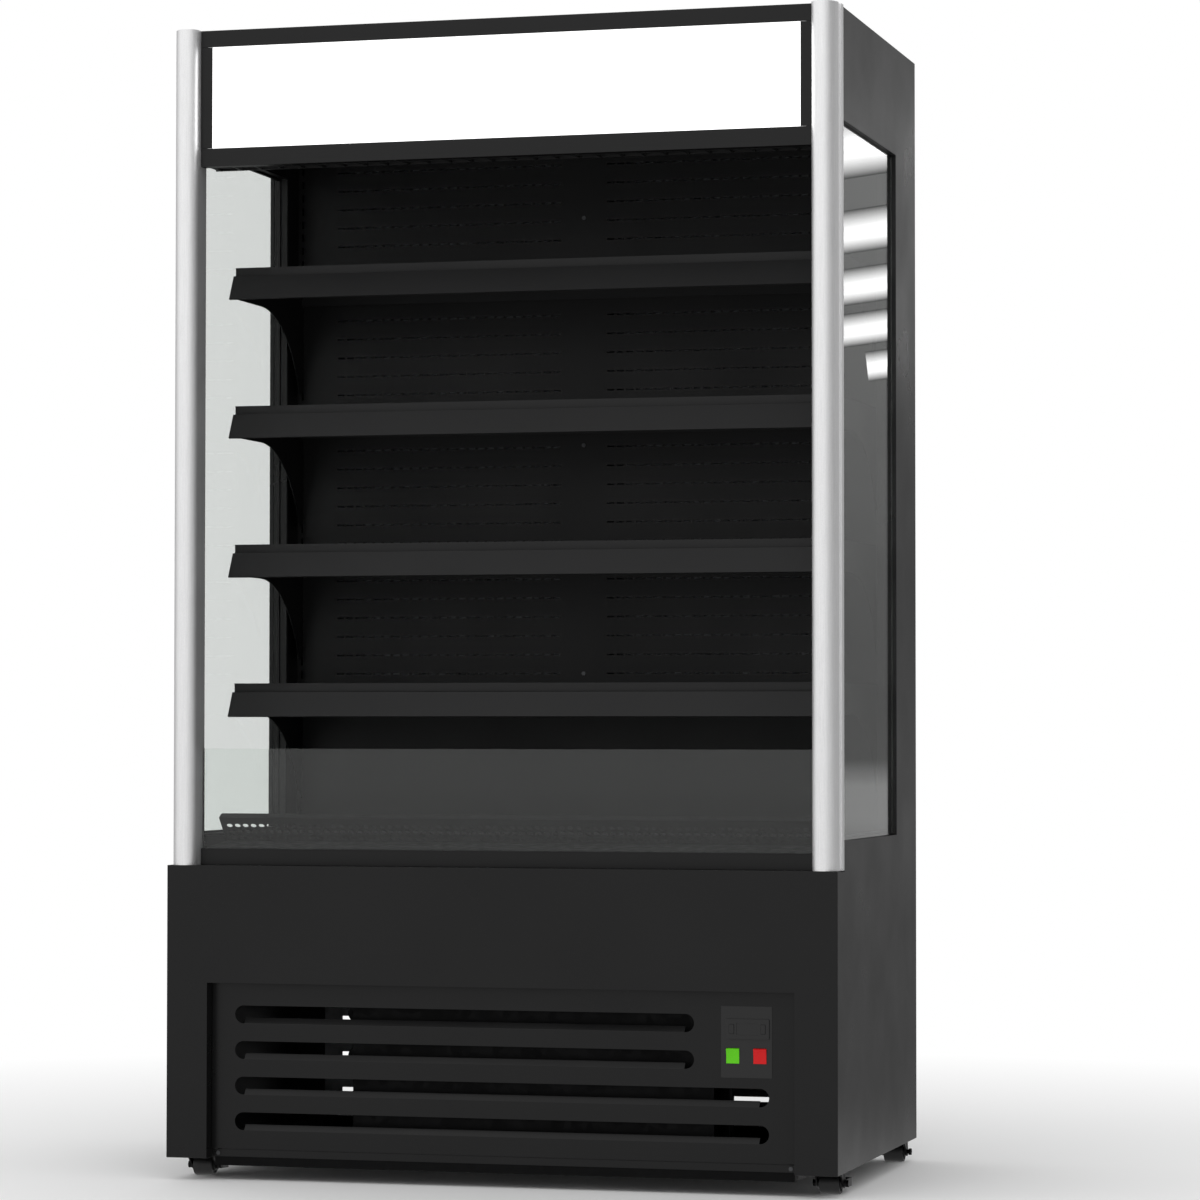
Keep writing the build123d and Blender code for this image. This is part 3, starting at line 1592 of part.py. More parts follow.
# ------------------------------------------------------------------ all pieces
def make_all():
    """Make every piece and write it."""
    finish(make_chassis(), "chassis")
    finish(make_castor_mounts(), "castor_mounts")
    for place, (x, d) in castor_spots.items():
        finish(make_castor_fork(x, d), f"castor_fork_{place}")
        finish(make_castor_wheel(x, d), f"castor_wheel_{place}")
        if "front" in place:
            finish(make_castor_brake(x, d), f"castor_brake_{place}")
    for name, side in (("left", -1), ("right", 1)):
        finish(make_side_panel(side), f"side_panel_{name}")
        finish(make_side_glass(side), f"side_glass_{name}")
        finish(make_post(side), f"post_{name}")
        finish(make_controller_key(side), f"controller_key_{name}")
    finish(make_window_frames(), "window_frames")
    finish(make_front_panel(), "front_panel")
    finish(make_louvre_panel(), "louvre_panel")
    finish(make_control_housing(), "control_housing")
    finish(make_controller(), "controller")
    finish(make_rocker(rocker_green_x), "switch_green")
    finish(make_rocker(rocker_red_x), "switch_red")
    finish(make_insulated_body(), "insulated_body")
    finish(make_rear_vent_panel(), "rear_vent_panel")
    finish(make_back_panel(), "back_panel")
    finish(make_uprights(), "uprights")
    for i, top in enumerate(shelf_tops, 1):
        finish(make_shelf(top), f"shelf_{i}")
        finish(make_shelf_brackets(top), f"shelf_brackets_{i}")
        finish(make_ticket_rail(top), f"ticket_rail_{i}")
    finish(make_base_deck(), "base_deck")
    finish(make_return_grille(), "return_grille")
    finish(make_front_glass(), "front_glass")
    finish(make_glass_rail(), "glass_rail")
    finish(make_canopy(), "canopy")
    finish(make_header_frame(), "header_frame")
    finish(make_header_diffuser(), "header_diffuser")
    finish(make_header_lamp(), "header_lamp")
    finish(make_honeycomb(), "honeycomb")
    finish(make_condenser(), "condenser")
    finish(make_fan_shroud(), "fan_shroud")
    big_hub = (fan_x, fan_middle, fan_z)
    finish(
        make_fan(
            big_hub, fan_hub, fan_hub_depth, fan_tip,
            blade_root_chord, blade_tip_chord, shaft_radius,
        ),
        "condenser_fan",
    )
    finish(make_compressor(), "compressor")
    finish(make_evaporator(), "evaporator")
    for name, side in (("left", -1), ("right", 1)):
        hub = (side * small_fan_x, fan_plate_place + small_hub_depth / 2, small_fan_z)
        finish(
            make_fan(
                hub, small_fan_hub, small_hub_depth, small_fan_tip,
                small_root_chord, small_tip_chord, small_shaft,
            ),
            f"evaporator_fan_{name}",
        )
    finish(make_screws(), "screws")


os.makedirs("parts", exist_ok=True)
make_all()
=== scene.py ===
import json
from math import acos, pi, radians

import bmesh
import bpy
from bpy.props import FloatProperty, FloatVectorProperty, IntProperty, PointerProperty
from mathutils import Matrix, Vector


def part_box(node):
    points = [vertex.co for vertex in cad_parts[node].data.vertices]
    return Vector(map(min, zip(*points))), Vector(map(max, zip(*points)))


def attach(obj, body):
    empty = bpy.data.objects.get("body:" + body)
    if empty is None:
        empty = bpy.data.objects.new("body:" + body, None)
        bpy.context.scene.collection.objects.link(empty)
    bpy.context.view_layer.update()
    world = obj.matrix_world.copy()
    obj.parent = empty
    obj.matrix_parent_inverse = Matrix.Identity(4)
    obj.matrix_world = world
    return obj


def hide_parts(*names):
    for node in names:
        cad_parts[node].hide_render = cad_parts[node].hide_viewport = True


bl_info = {
    "name": "Open multideck display fridge",
    "version": (1, 0, 0),
    "blender": (4, 5, 0),
    "location": "3D View > Sidebar > Display fridge",
    "description": "Finishes, posts, perforated sheets and a plain studio for a display fridge",
    "category": "Object",
}

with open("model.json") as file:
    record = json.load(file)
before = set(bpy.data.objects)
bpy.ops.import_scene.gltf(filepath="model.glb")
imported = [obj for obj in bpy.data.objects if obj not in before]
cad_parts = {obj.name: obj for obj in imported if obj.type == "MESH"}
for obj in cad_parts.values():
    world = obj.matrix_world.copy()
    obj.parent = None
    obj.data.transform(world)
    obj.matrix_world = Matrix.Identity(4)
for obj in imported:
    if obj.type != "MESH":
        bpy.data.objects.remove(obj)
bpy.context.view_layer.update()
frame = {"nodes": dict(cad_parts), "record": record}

SLOT_OF = {part["node"]: part["material_slot"] for part in frame["record"]["subparts"]}
BODY_OF = {
    node: body
    for body, nodes in frame["record"]["behaviour"]["bodies"].items()
    for node in nodes
}
EASED_SHEETS = ["front_panel", "louvre_panel", "header_frame", "glass_rail", "base_deck"]
EASED_SHEETS += [f"{kind}_{i}" for kind in ("shelf", "ticket_rail") for i in range(1, 5)]
EASED_MOULDINGS = [
    "control_housing", "controller", "controller_key_left", "controller_key_right",
    "switch_green", "switch_red",
]
EASED_WALLS = ["side_panel_left", "side_panel_right", "window_frames", "canopy"]
CASTORS = ("front_left", "front_right", "rear_left", "rear_right")
# Nodes finished darker than their slot: a painted shade for what lies deep inside the base, where
# little light reaches.
PAINTED_SHADE_ZINC = ["chassis", "castor_mounts", "condenser", "fan_shroud"]
PAINTED_SHADE_ZINC += [f"castor_fork_{castor}" for castor in CASTORS]
# The back panel, the uprights and the shelf brackets take a copy of the inner paint with weaker
# gloss, a painted shade for the back of the cabinet.
SHADED_LINING = ["back_panel", "uprights"] + [f"shelf_brackets_{i}" for i in range(1, 5)]
SPECIAL = {node: "painted_shade_zinc" for node in PAINTED_SHADE_ZINC} | {node: "shaded_lining" for node in SHADED_LINING}

LAMP_TARGET = (0, 0, 1.0)
KEY_PLACE, KEY_SIZE = (0.4, -3.2, 4.4), (3.6, 2.2)
FILL_PLACE, FILL_SIZE = (-4.2, -2.6, 2.2), (2.4, 3.0)
# Gloss is brightest from the front left and dark from behind the right side.
KEY_SIDE = (-0.5, -0.866, 0.0)
DARK_SIDE = (0.5, 0.866, 0.0)
FLOOR_HALF = 40
# Bright strips that the right pane mirrors, as (low, high, left, right).
CARD_BANDS = (
    (2.440, 2.640, 1.52, 1.74), (2.215, 2.345, 1.52, 1.74), (2.060, 2.170, 1.52, 1.74),
    (1.935, 2.035, 1.52, 1.74), (1.830, 1.920, 1.52, 1.63),
)
CARD_DISTANCE = 5.0
CARD_LEAN = radians(6.6)
CARD_GLOW = 3.0


# ------------------------------------------------------------------ sizes and colours
class FridgeFinish(bpy.types.PropertyGroup):
    """Colours and gloss of the finishes."""

    paint: FloatVectorProperty(
        name="Front paint", description="Powder coat of the front and the header",
        subtype="COLOR", size=3, default=(0.0028, 0.0028, 0.0029), min=0, max=1,
    )
    # Painted light: the sides have the same powder coat as the front, given a slightly lighter colour
    # for the light they catch.
    side: FloatVectorProperty(
        name="Side paint", description="Powder coat of the two sides",
        subtype="COLOR", size=3, default=(0.0034, 0.0034, 0.0036), min=0, max=1,
    )
    # Painted light: the shelves and the back have the same black powder coat as the front, given a
    # lighter colour to make up for the shade inside the cabinet.
    inner: FloatVectorProperty(
        name="Inner paint", description="Powder coat of the shelves and the back panel",
        subtype="COLOR", size=3, default=(0.0058, 0.0058, 0.0060), min=0, max=1,
    )
    aluminium: FloatVectorProperty(
        name="Anodised aluminium", description="Brushed posts",
        subtype="COLOR", size=3, default=(0.95, 0.95, 0.955), min=0, max=1,
    )
    zinc: FloatVectorProperty(
        name="Zinc coat", description="Galvanised sheet of the base, the tub and the rear",
        subtype="COLOR", size=3, default=(0.50, 0.51, 0.53), min=0, max=1,
    )
    pane: FloatVectorProperty(
        name="Glass tint", description="Tint of the panes",
        subtype="COLOR", size=3, default=(0.90, 0.93, 0.91), min=0, max=1,
    )
    plastic: FloatVectorProperty(
        name="Black plastic", description="Mouldings, fans and the air outlet",
        subtype="COLOR", size=3, default=(0.0040, 0.0040, 0.0042), min=0, max=1,
    )
    green: FloatVectorProperty(
        name="Green rocker", description="Lit rocker of the power switch",
        subtype="COLOR", size=3, default=(0.080, 0.40, 0.008), min=0, max=1,
    )
    red: FloatVectorProperty(
        name="Red rocker", description="Lit rocker of the lamp switch",
        subtype="COLOR", size=3, default=(0.43, 0.008, 0.009), min=0, max=1,
    )
    paint_gloss: FloatProperty(
        name="Paint roughness", description="Roughness of the powder coat",
        default=0.30, min=0.05, max=1,
    )
    lamp: FloatProperty(
        name="Header light", description="Brightness of the lit header",
        default=1.0, min=0, max=5,
    )


class FridgeSheets(bpy.types.PropertyGroup):
    """Sizes of the perforations and the eased edges."""

    slot_rows: IntProperty(
        name="Slot rows", description="Rows of air slots in the back panel", default=28, min=2,
    )
    slots_in_row: IntProperty(
        name="Slots in a row", description="Air slots in one row of one block", default=24, min=2,
    )
    slot_gap: FloatProperty(
        name="Slot gap", description="Web between two air slots", unit="LENGTH", default=0.0050,
    )
    slot_height: FloatProperty(
        name="Slot height", description="Height of an air slot", unit="LENGTH", default=0.0030,
    )
    hole_width: FloatProperty(
        name="Hole width", description="Width of a hole in the return grille",
        unit="LENGTH", default=0.0112,
    )
    hole_height: FloatProperty(
        name="Hole height", description="Hole along the slope of the return grille",
        unit="LENGTH", default=0.0094,
    )
    hole_columns: IntProperty(
        name="Hole columns", description="Holes in one row of the return grille", default=72, min=2,
    )
    edge: FloatProperty(
        name="Sheet edge", description="Rounding of folded sheet edges",
        unit="LENGTH", default=0.0004,
    )
    wall_edge: FloatProperty(
        name="Wall edge", description="Rounding of the side walls and the canopy",
        unit="LENGTH", default=0.0010,
    )
    tyre_edge: FloatProperty(
        name="Tyre edge", description="Rounding of the castor tyres", unit="LENGTH", default=0.0006,
    )


class FridgeStudio(bpy.types.PropertyGroup):
    """Camera, lamps and floor."""

    camera_place: FloatVectorProperty(
        name="Camera", description="Place of the camera", subtype="TRANSLATION", unit="LENGTH",
        size=3, default=(2.0705, -7.2620, 0.7927),
    )
    camera_turn: FloatProperty(
        name="Camera turn", description="Turn to the left of the view straight back",
        subtype="ANGLE", default=radians(15.2416),
    )
    camera_tilt: FloatProperty(
        name="Camera tilt", description="Tilt of the view above level",
        subtype="ANGLE", default=radians(1.7385),
    )
    camera_roll: FloatProperty(
        name="Camera roll", description="Roll about the line of sight",
        subtype="ANGLE", default=radians(0.032),
    )
    lens: FloatProperty(
        name="Lens", description="Focal length, on a 36 mm sensor", default=125.892, min=10,
    )
    floor_colour: FloatVectorProperty(
        name="Floor", description="Colour of the floor", subtype="COLOR", size=3,
        default=(0.895, 0.895, 0.895), min=0, max=1,
    )
    key_power: FloatProperty(
        name="Key lamp", description="Power of the large lamp overhead",
        unit="POWER", default=40.0, min=0,
    )
    fill_power: FloatProperty(
        name="Fill lamp", description="Power of the lamp at the left",
        unit="POWER", default=25.0, min=0,
    )
    ambient: FloatProperty(
        name="Ambient", description="Even light of the studio", default=0.86, min=0, max=2,
    )


# ------------------------------------------------------------------ nodes of a material
def start_material(name):
    """New material with its node tree and its surface shader."""
    material = bpy.data.materials.new(f"{name}_finish")
    material.use_nodes = True
    tree = material.node_tree
    return material, tree, tree.nodes["Principled BSDF"]


def object_point(tree, stretch=(1, 1, 1)):
    """Object coordinates, stretched along the axes."""
    place = tree.nodes.new("ShaderNodeTexCoord")
    mapping = tree.nodes.new("ShaderNodeMapping")
    mapping.inputs["Scale"].default_value = stretch
    tree.links.new(place.outputs["Object"], mapping.inputs["Vector"])
    return mapping.outputs["Vector"]


def noise(tree, point, scale, detail=2.0):
    """Soft noise from 0 to 1."""
    node = tree.nodes.new("ShaderNodeTexNoise")
    node.inputs["Scale"].default_value = scale
    node.inputs["Detail"].default_value = detail
    tree.links.new(point, node.inputs["Vector"])
    return node.outputs["Fac"]


def spread(tree, value, from_low, from_high, to_low, to_high):
    """Value moved from one range to another, held at its ends."""
    node = tree.nodes.new("ShaderNodeMapRange")
    for key, number in (
        ("From Min", from_low), ("From Max", from_high), ("To Min", to_low), ("To Max", to_high),
    ):
        node.inputs[key].default_value = number
    tree.links.new(value, node.inputs["Value"])
    return node.outputs["Result"]


def compute(tree, operation, first, second):
    """One sum of two values, each a socket or a number."""
    node = tree.nodes.new("ShaderNodeMath")
    node.operation = operation
    for socket, value in zip(node.inputs, (first, second)):
        if isinstance(value, (int, float)):
            socket.default_value = value
        else:
            tree.links.new(value, socket)
    return node.outputs["Value"]


def blend_colours(tree, factor, first, second):
    """Colour between two colours."""
    node = tree.nodes.new("ShaderNodeMix")
    node.data_type = "RGBA"
    node.inputs["A"].default_value = (*first, 1)
    node.inputs["B"].default_value = (*second, 1)
    tree.links.new(factor, node.inputs["Factor"])
    return node.outputs["Result"]


def add_relief(tree, shader, height, strength, distance):
    """Fine relief of a surface."""
    node = tree.nodes.new("ShaderNodeBump")
    node.inputs["Strength"].default_value = strength
    node.inputs["Distance"].default_value = distance
    tree.links.new(height, node.inputs["Height"])
    tree.links.new(node.outputs["Normal"], shader.inputs["Normal"])


def lighter(colour, share):
    """Colour made lighter by a share of itself."""
    return tuple(min(1.0, channel * (1 + share)) for channel in colour)


# ------------------------------------------------------------------ finishes
def powder_coat(name, colour, roughness, specular=0.31):
    """Powder coat: fine orange peel, cloudy gloss and a trace of dust on what faces up."""
    tree, shader = start_material(name)[1:]
    point = object_point(tree)
    cloud = noise(tree, point, 5.0, 4.0)
    peel = noise(tree, point, 1400.0, 1.0)
    dust = noise(tree, point, 60.0, 6.0)
    geometry = tree.nodes.new("ShaderNodeNewGeometry")
    axes = tree.nodes.new("ShaderNodeSeparateXYZ")
    tree.links.new(geometry.outputs["Normal"], axes.inputs["Vector"])
    upward = spread(tree, axes.outputs["Z"], 0.7, 1.0, 0.0, 0.35)
    settled = compute(tree, "MULTIPLY", upward, spread(tree, dust, 0.35, 0.75, 0.0, 1.0))
    factor = compute(tree, "ADD", spread(tree, cloud, 0.3, 0.7, 0.0, 0.5), settled)
    tree.links.new(
        blend_colours(tree, factor, colour, lighter(colour, 0.5)), shader.inputs["Base Color"]
    )
    gloss = spread(tree, cloud, 0.3, 0.7, roughness - 0.04, roughness + 0.05)
    tree.links.new(compute(tree, "ADD", gloss, settled), shader.inputs["Roughness"])
    shader.inputs["Specular IOR Level"].default_value = specular
    add_relief(tree, shader, peel, 0.10, 0.0003)


def brushed_aluminium(name, colour):
    """Anodised aluminium with drawn lines along its length."""
    tree, shader = start_material(name)[1:]
    lines = noise(tree, object_point(tree, (1.0, 1.0, 0.012)), 1600.0, 3.0)
    grain = noise(tree, object_point(tree), 900.0, 2.0)
    cloud = noise(tree, object_point(tree), 3.0, 3.0)
    speckle = compute(tree, "MULTIPLY", grain, 0.45)
    texture = compute(tree, "ADD", compute(tree, "MULTIPLY", lines, 0.55), speckle)
    tree.links.new(
        blend_colours(tree, spread(tree, texture, 0.35, 0.65, 0, 1), lighter(colour, -0.16), colour),
        shader.inputs["Base Color"],
    )
    worn = compute(tree, "MULTIPLY", cloud, 0.06)
    gloss = compute(tree, "ADD", spread(tree, texture, 0.3, 0.7, 0.30, 0.42), worn)
    tree.links.new(gloss, shader.inputs["Roughness"])
    shader.inputs["Metallic"].default_value = 0.80
    add_relief(tree, shader, texture, 0.22, 0.0002)


def zinc_sheet(name, colour):
    """Galvanised sheet with spangle."""
    tree, shader = start_material(name)[1:]
    point = object_point(tree)
    spangle = tree.nodes.new("ShaderNodeTexVoronoi")
    spangle.inputs["Scale"].default_value = 70.0
    tree.links.new(point, spangle.inputs["Vector"])
    tone = tree.nodes.new("ShaderNodeSeparateColor")
    tree.links.new(spangle.outputs["Color"], tone.inputs["Color"])
    mottle = noise(tree, point, 9.0, 5.0)
    factor = compute(tree, "MULTIPLY", tone.outputs["Red"], spread(tree, mottle, 0.2, 0.8, 0.4, 1))
    tree.links.new(
        blend_colours(tree, factor, lighter(colour, -0.22), lighter(colour, 0.12)),
        shader.inputs["Base Color"],
    )
    tree.links.new(
        spread(tree, tone.outputs["Green"], 0, 1, 0.36, 0.56), shader.inputs["Roughness"]
    )
    shader.inputs["Metallic"].default_value = 0.85
    add_relief(tree, shader, mottle, 0.08, 0.0008)


def clear_pane(name, colour):
    """Float glass with faint wiping marks."""
    tree, shader = start_material(name)[1:]
    wiping = noise(tree, object_point(tree, (1.0, 1.0, 0.25)), 14.0, 6.0)
    tree.links.new(
        blend_colours(tree, wiping, lighter(colour, -0.015), lighter(colour, 0.015)),
        shader.inputs["Base Color"],
    )
    tree.links.new(spread(tree, wiping, 0.60, 0.9, 0.0, 0.02), shader.inputs["Roughness"])
    shader.inputs["Transmission Weight"].default_value = 1.0
    shader.inputs["IOR"].default_value = 1.44


def moulded_plastic(name, colour, roughness, grain=1800.0, glow=0.0):
    """Moulded plastic with a fine leather grain; glow lights a lens from inside."""
    tree, shader = start_material(name)[1:]
    point = object_point(tree)
    texture = noise(tree, point, grain, 2.0)
    flow = noise(tree, point, 25.0, 3.0)
    tree.links.new(
        blend_colours(tree, flow, lighter(colour, -0.08), lighter(colour, 0.10)),
        shader.inputs["Base Color"],
    )
    tree.links.new(
        spread(tree, flow, 0.2, 0.8, roughness - 0.05, roughness + 0.05), shader.inputs["Roughness"]
    )
    add_relief(tree, shader, texture, 0.12, 0.0003)
    if glow:
        shader.inputs["Specular IOR Level"].default_value = 0.2
        shader.inputs["Emission Color"].default_value = (*colour, 1)
        tree.links.new(spread(tree, flow, 0, 1, glow * 0.8, glow), shader.inputs["Emission Strength"])


def lit_opal(name, strength):
    """Opal sheet lit evenly from behind, a little dimmer towards its ends."""
    tree, shader = start_material(name)[1:]
    point = object_point(tree)
    axes = tree.nodes.new("ShaderNodeSeparateXYZ")
    tree.links.new(point, axes.inputs["Vector"])
    reach = compute(tree, "ABSOLUTE", axes.outputs["X"], 0.0)
    edge = spread(tree, reach, 0.44, 0.55, strength * 1.03, strength * 0.98)
    mottle = spread(tree, noise(tree, point, 40.0, 3.0), 0, 1, 0.99, 1.01)
    tree.links.new(compute(tree, "MULTIPLY", edge, mottle), shader.inputs["Emission Strength"])
    tree.links.new(
        spread(tree, noise(tree, point, 300.0), 0, 1, 0.38, 0.48), shader.inputs["Roughness"]
    )
    shader.inputs["Base Color"].default_value = (0.80, 0.80, 0.79, 1)
    shader.inputs["Emission Color"].default_value = (1, 1, 1, 1)


def turned_steel(name, colour):
    """Darkened steel of the fasteners."""
    tree, shader = start_material(name)[1:]
    point = object_point(tree)
    tone = noise(tree, point, 160.0, 4.0)
    tree.links.new(
        blend_colours(tree, tone, lighter(colour, -0.3), colour), shader.inputs["Base Color"]
    )
    tree.links.new(spread(tree, tone, 0, 1, 0.28, 0.5), shader.inputs["Roughness"])
    shader.inputs["Metallic"].default_value = 1.0


def fridge_finishes(settings):
    """Make the finish of every slot of the record, and the two darker ones that paint the shade deep
    inside.
    """
    gloss = settings.paint_gloss
    powder_coat("dark_paint", settings.paint, gloss)
    powder_coat("side_paint", settings.side, gloss)
    brushed_aluminium("anodised", settings.aluminium)
    clear_pane("glass", settings.pane)
    zinc_sheet("galvanised", settings.zinc)
    moulded_plastic("wheel_plastic", lighter(settings.plastic, 0.3), 0.5, 700.0)
    powder_coat("brake_steel", settings.plastic, 0.42)
    moulded_plastic("black_plastic", settings.plastic, 0.42)
    moulded_plastic("rocker_green", settings.green, 0.24, 400.0, 0.35)
    moulded_plastic("rocker_red", settings.red, 0.24, 400.0, 0.35)
    powder_coat("inner_paint", settings.inner, gloss + 0.25, 0.34)
    lit_opal("opal", settings.lamp)
    powder_coat("compressor_paint", settings.plastic, 0.30)
    turned_steel("screw_steel", lighter(settings.zinc, -0.8))
    # Painted shade: the inner paint with weaker gloss, for the back of the cabinet.
    powder_coat("shaded_lining", settings.inner, gloss + 0.1, 0.24)
    # Painted shade: the zinc finish made black for the parts deep in the base.
    zinc_sheet("painted_shade_zinc", settings.plastic)


def finish_of(node):
    """Material of a node: that of its slot, or a darker one that paints the shade on what lies deep
    inside.
    """
    return bpy.data.materials[f"{SPECIAL.get(node, SLOT_OF[node])}_finish"]


# ------------------------------------------------------------------ meshes
def new_piece(name, bm, node, modifiers=()):
    """Object from a bmesh, with the finish, slot and body of the CAD node that it stands for."""
    for face in bm.faces:
        face.smooth = True
    for edge in bm.edges:
        edge.smooth = edge.is_manifold and edge.calc_face_angle(pi) < radians(30)
    mesh = bpy.data.meshes.new(name)
    bm.to_mesh(mesh)
    bm.free()
    if "custom_normal" in mesh.attributes:
        mesh.attributes.remove(mesh.attributes["custom_normal"])
    mesh.materials.clear()
    mesh.materials.append(finish_of(node))
    piece = bpy.data.objects.new(name, mesh)
    bpy.context.scene.collection.objects.link(piece)
    for kind, values in modifiers:
        modifier = piece.modifiers.new(kind.title(), kind)
        for key, value in values.items():
            setattr(modifier, key, value)
    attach(piece, BODY_OF[node])
    return piece


def rounding(width):
    """Bevel of the sharp edges."""
    return (
        "BEVEL",
        {
            "width": width, "segments": 2, "limit_method": "ANGLE",
            "angle_limit": radians(35), "harden_normals": True,
        },
    )


def thickness(amount, offset=0.0):
    """Wall of a sheet."""
    return ("SOLIDIFY", {"thickness": amount, "offset": offset, "use_even_offset": True})


def cleaned_mesh(node):
    """Mesh of a CAD node with its flat faces whole."""
    bm = bmesh.new()
    bm.from_mesh(frame["nodes"][node].data)
    bmesh.ops.remove_doubles(bm, verts=bm.verts, dist=1e-6)
    bmesh.ops.dissolve_limit(bm, angle_limit=radians(0.5), verts=bm.verts, edges=bm.edges)
    return bm


def eased_node(node, width):
    """CAD node with its sharp edges rounded."""
    piece = new_piece(f"{node}_eased", cleaned_mesh(node), node, [rounding(width)])
    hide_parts(node)


def grid_between(bm, columns, rows, is_hole):
    """Grid of faces between given lines, with the holes left out. Columns along X, rows along Y."""
    across, along = len(columns) - 1, len(rows) - 1
    bmesh.ops.create_grid(bm, x_segments=across, y_segments=along, size=1)
    for vertex in bm.verts:
        i = round((vertex.co.x + 1) / 2 * across)
        j = round((vertex.co.y + 1) / 2 * along)
        vertex.co = (columns[i], rows[j], 0)
    holes = []
    for face in bm.faces:
        middle = face.calc_center_median()
        if is_hole(middle.x, middle.y):
            holes.append(face)
    bmesh.ops.delete(bm, geom=holes, context="FACES")


def edge_loop_at(bm, axis, place):
    """Edges that lie on one side of the sheet, at a place along an axis."""
    return [
        edge
        for edge in bm.edges
        if edge.is_boundary and all(abs(v.co[axis] - place) < 1e-5 for v in edge.verts)
    ]


def fold_on(bm, edges, move):
    """Draw the sheet on from some edges by a move; gives the new edges."""
    drawn = bmesh.ops.extrude_edge_only(bm, edges=edges)["geom"]
    corners = [item for item in drawn if isinstance(item, bmesh.types.BMVert)]
    bmesh.ops.translate(bm, verts=corners, vec=move)
    return [
        item
        for item in drawn
        if isinstance(item, bmesh.types.BMEdge) and item.is_boundary
        and all(corner in corners for corner in item.verts)
    ]


# ------------------------------------------------------------------ pieces
class FRIDGE_OT_finishes(bpy.types.Operator):
    """Make the finishes and put them on every CAD node"""

    bl_idname = "fridge.finishes"
    bl_label = "Finishes"

    def execute(self, context):
        fridge_finishes(context.scene.fridge_finish)
        for node, piece in frame["nodes"].items():
            piece.data.materials.clear()
            piece.data.materials.append(finish_of(node))
        return {"FINISHED"}


class FRIDGE_OT_eased_edges(bpy.types.Operator):
    """Round the edges of the folded sheets, the mouldings and the walls"""

    bl_idname = "fridge.eased_edges"
    bl_label = "Eased edges"

    def execute(self, context):
        sheets = context.scene.fridge_sheets
        for node in EASED_SHEETS + EASED_MOULDINGS:
            eased_node(node, sheets.edge)
        for node in EASED_WALLS:
            eased_node(node, sheets.wall_edge)
        return {"FINISHED"}


class FRIDGE_OT_posts(bpy.types.Operator):
    """Hollow posts with a rounded nose, a side groove and the channel for the glass"""

    bl_idname = "fridge.posts"
    bl_label = "Posts"

    inner_round: FloatProperty(
        name="Round at the opening", description="Radius of the front edge beside the opening",
        unit="LENGTH", default=0.0200,
    )
    nose: FloatProperty(
        name="Nose", description="Depth of the round nose", unit="LENGTH", default=0.0410,
    )
    groove_front: FloatProperty(
        name="Groove front", description="Front face to the front of the side groove",
        unit="LENGTH", default=0.0260,
    )
    groove_rear: FloatProperty(
        name="Groove rear", description="Front face to the rear of the side groove",
        unit="LENGTH", default=0.0395,
    )
    groove: FloatProperty(
        name="Groove depth", description="Side to the floor of the groove",
        unit="LENGTH", default=0.0045,
    )
    channel: FloatProperty(
        name="Channel gap", description="Gap round the pane in its channel",
        unit="LENGTH", default=0.0005,
    )
    wall: FloatProperty(
        name="Wall", description="Wall of the extrusion", unit="LENGTH", default=0.0018,
    )

    def execute(self, context):
        for side in ("left", "right"):
            node = f"post_{side}"
            low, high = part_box(node)
            bm = bmesh.new()
            self.draw_section(bm, side, low, high)
            drawn = bmesh.ops.extrude_face_region(bm, geom=bm.faces[:])["geom"]
            top = [item for item in drawn if isinstance(item, bmesh.types.BMVert)]
            bmesh.ops.translate(bm, verts=top, vec=(0, 0, high.z - low.z))
            caps = [face for face in bm.faces if abs(face.normal.z) > 0.9]
            bmesh.ops.delete(bm, geom=caps, context="FACES_ONLY")
            bmesh.ops.recalc_face_normals(bm, faces=bm.faces)
            self.point_out(bm)
            post = new_piece(f"{node}_hollow", bm, node, [thickness(self.wall, -1.0)])
            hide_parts(node)
        return {"FINISHED"}

    def draw_section(self, bm, side, low, high):
        """Face with the outline of a post: nose, groove, channel for the pane and inner round."""
        glass_low, glass_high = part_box(f"side_glass_{side}")
        sign = 1 if side == "right" else -1
        inner, outer = sorted((abs(low.x), abs(high.x)))
        pane_inner, pane_outer = sorted((abs(glass_low.x), abs(glass_high.x)))
        pane_inner, pane_outer = pane_inner - self.channel, pane_outer + self.channel
        floor = outer - self.groove
        front, rear = low.y, high.y
        groove_front, groove_rear = front + self.groove_front, front + self.groove_rear
        slot = glass_low.y - self.channel
        corners = [
            (floor, groove_front), (floor, groove_rear), (outer, groove_rear), (outer, rear),
            (pane_outer, rear), (pane_outer, slot), (pane_inner, slot), (pane_inner, rear),
            (inner, rear), (inner, front),
        ]
        crest = inner + self.inner_round
        first = bm.verts.new((sign * crest, front, low.z))
        swept = bmesh.ops.spin(
            bm, geom=[first], cent=(sign * crest, front + outer - crest, low.z), axis=(0, 0, 1),
            angle=sign * acos(1 - self.groove_front / self.nose), steps=24,
        )
        bmesh.ops.scale(
            bm, vec=(1, self.nose / (outer - crest), 1), verts=bm.verts,
            space=Matrix.Translation((0, -front, 0)),
        )
        last = swept["geom_last"][0]
        for x, y in corners:
            corner = bm.verts.new((sign * x, y, low.z))
            bm.edges.new((last, corner))
            last = corner
        bm.edges.new((last, first))
        bmesh.ops.contextual_create(bm, geom=bm.edges[:])
        # The round stops just short of the crest, so that no two corners fall together there.
        bmesh.ops.bevel(
            bm, geom=[last], offset=self.inner_round * 0.98, offset_type="OFFSET", segments=16,
            profile=0.5, affect="VERTICES", material=-1,
        )

    def point_out(self, bm):
        """Turn the faces outward, judged by the one at the very front."""
        face = min(bm.faces, key=lambda item: item.calc_center_median().y)
        if face.normal.y > 0:
            bmesh.ops.reverse_faces(bm, faces=bm.faces)


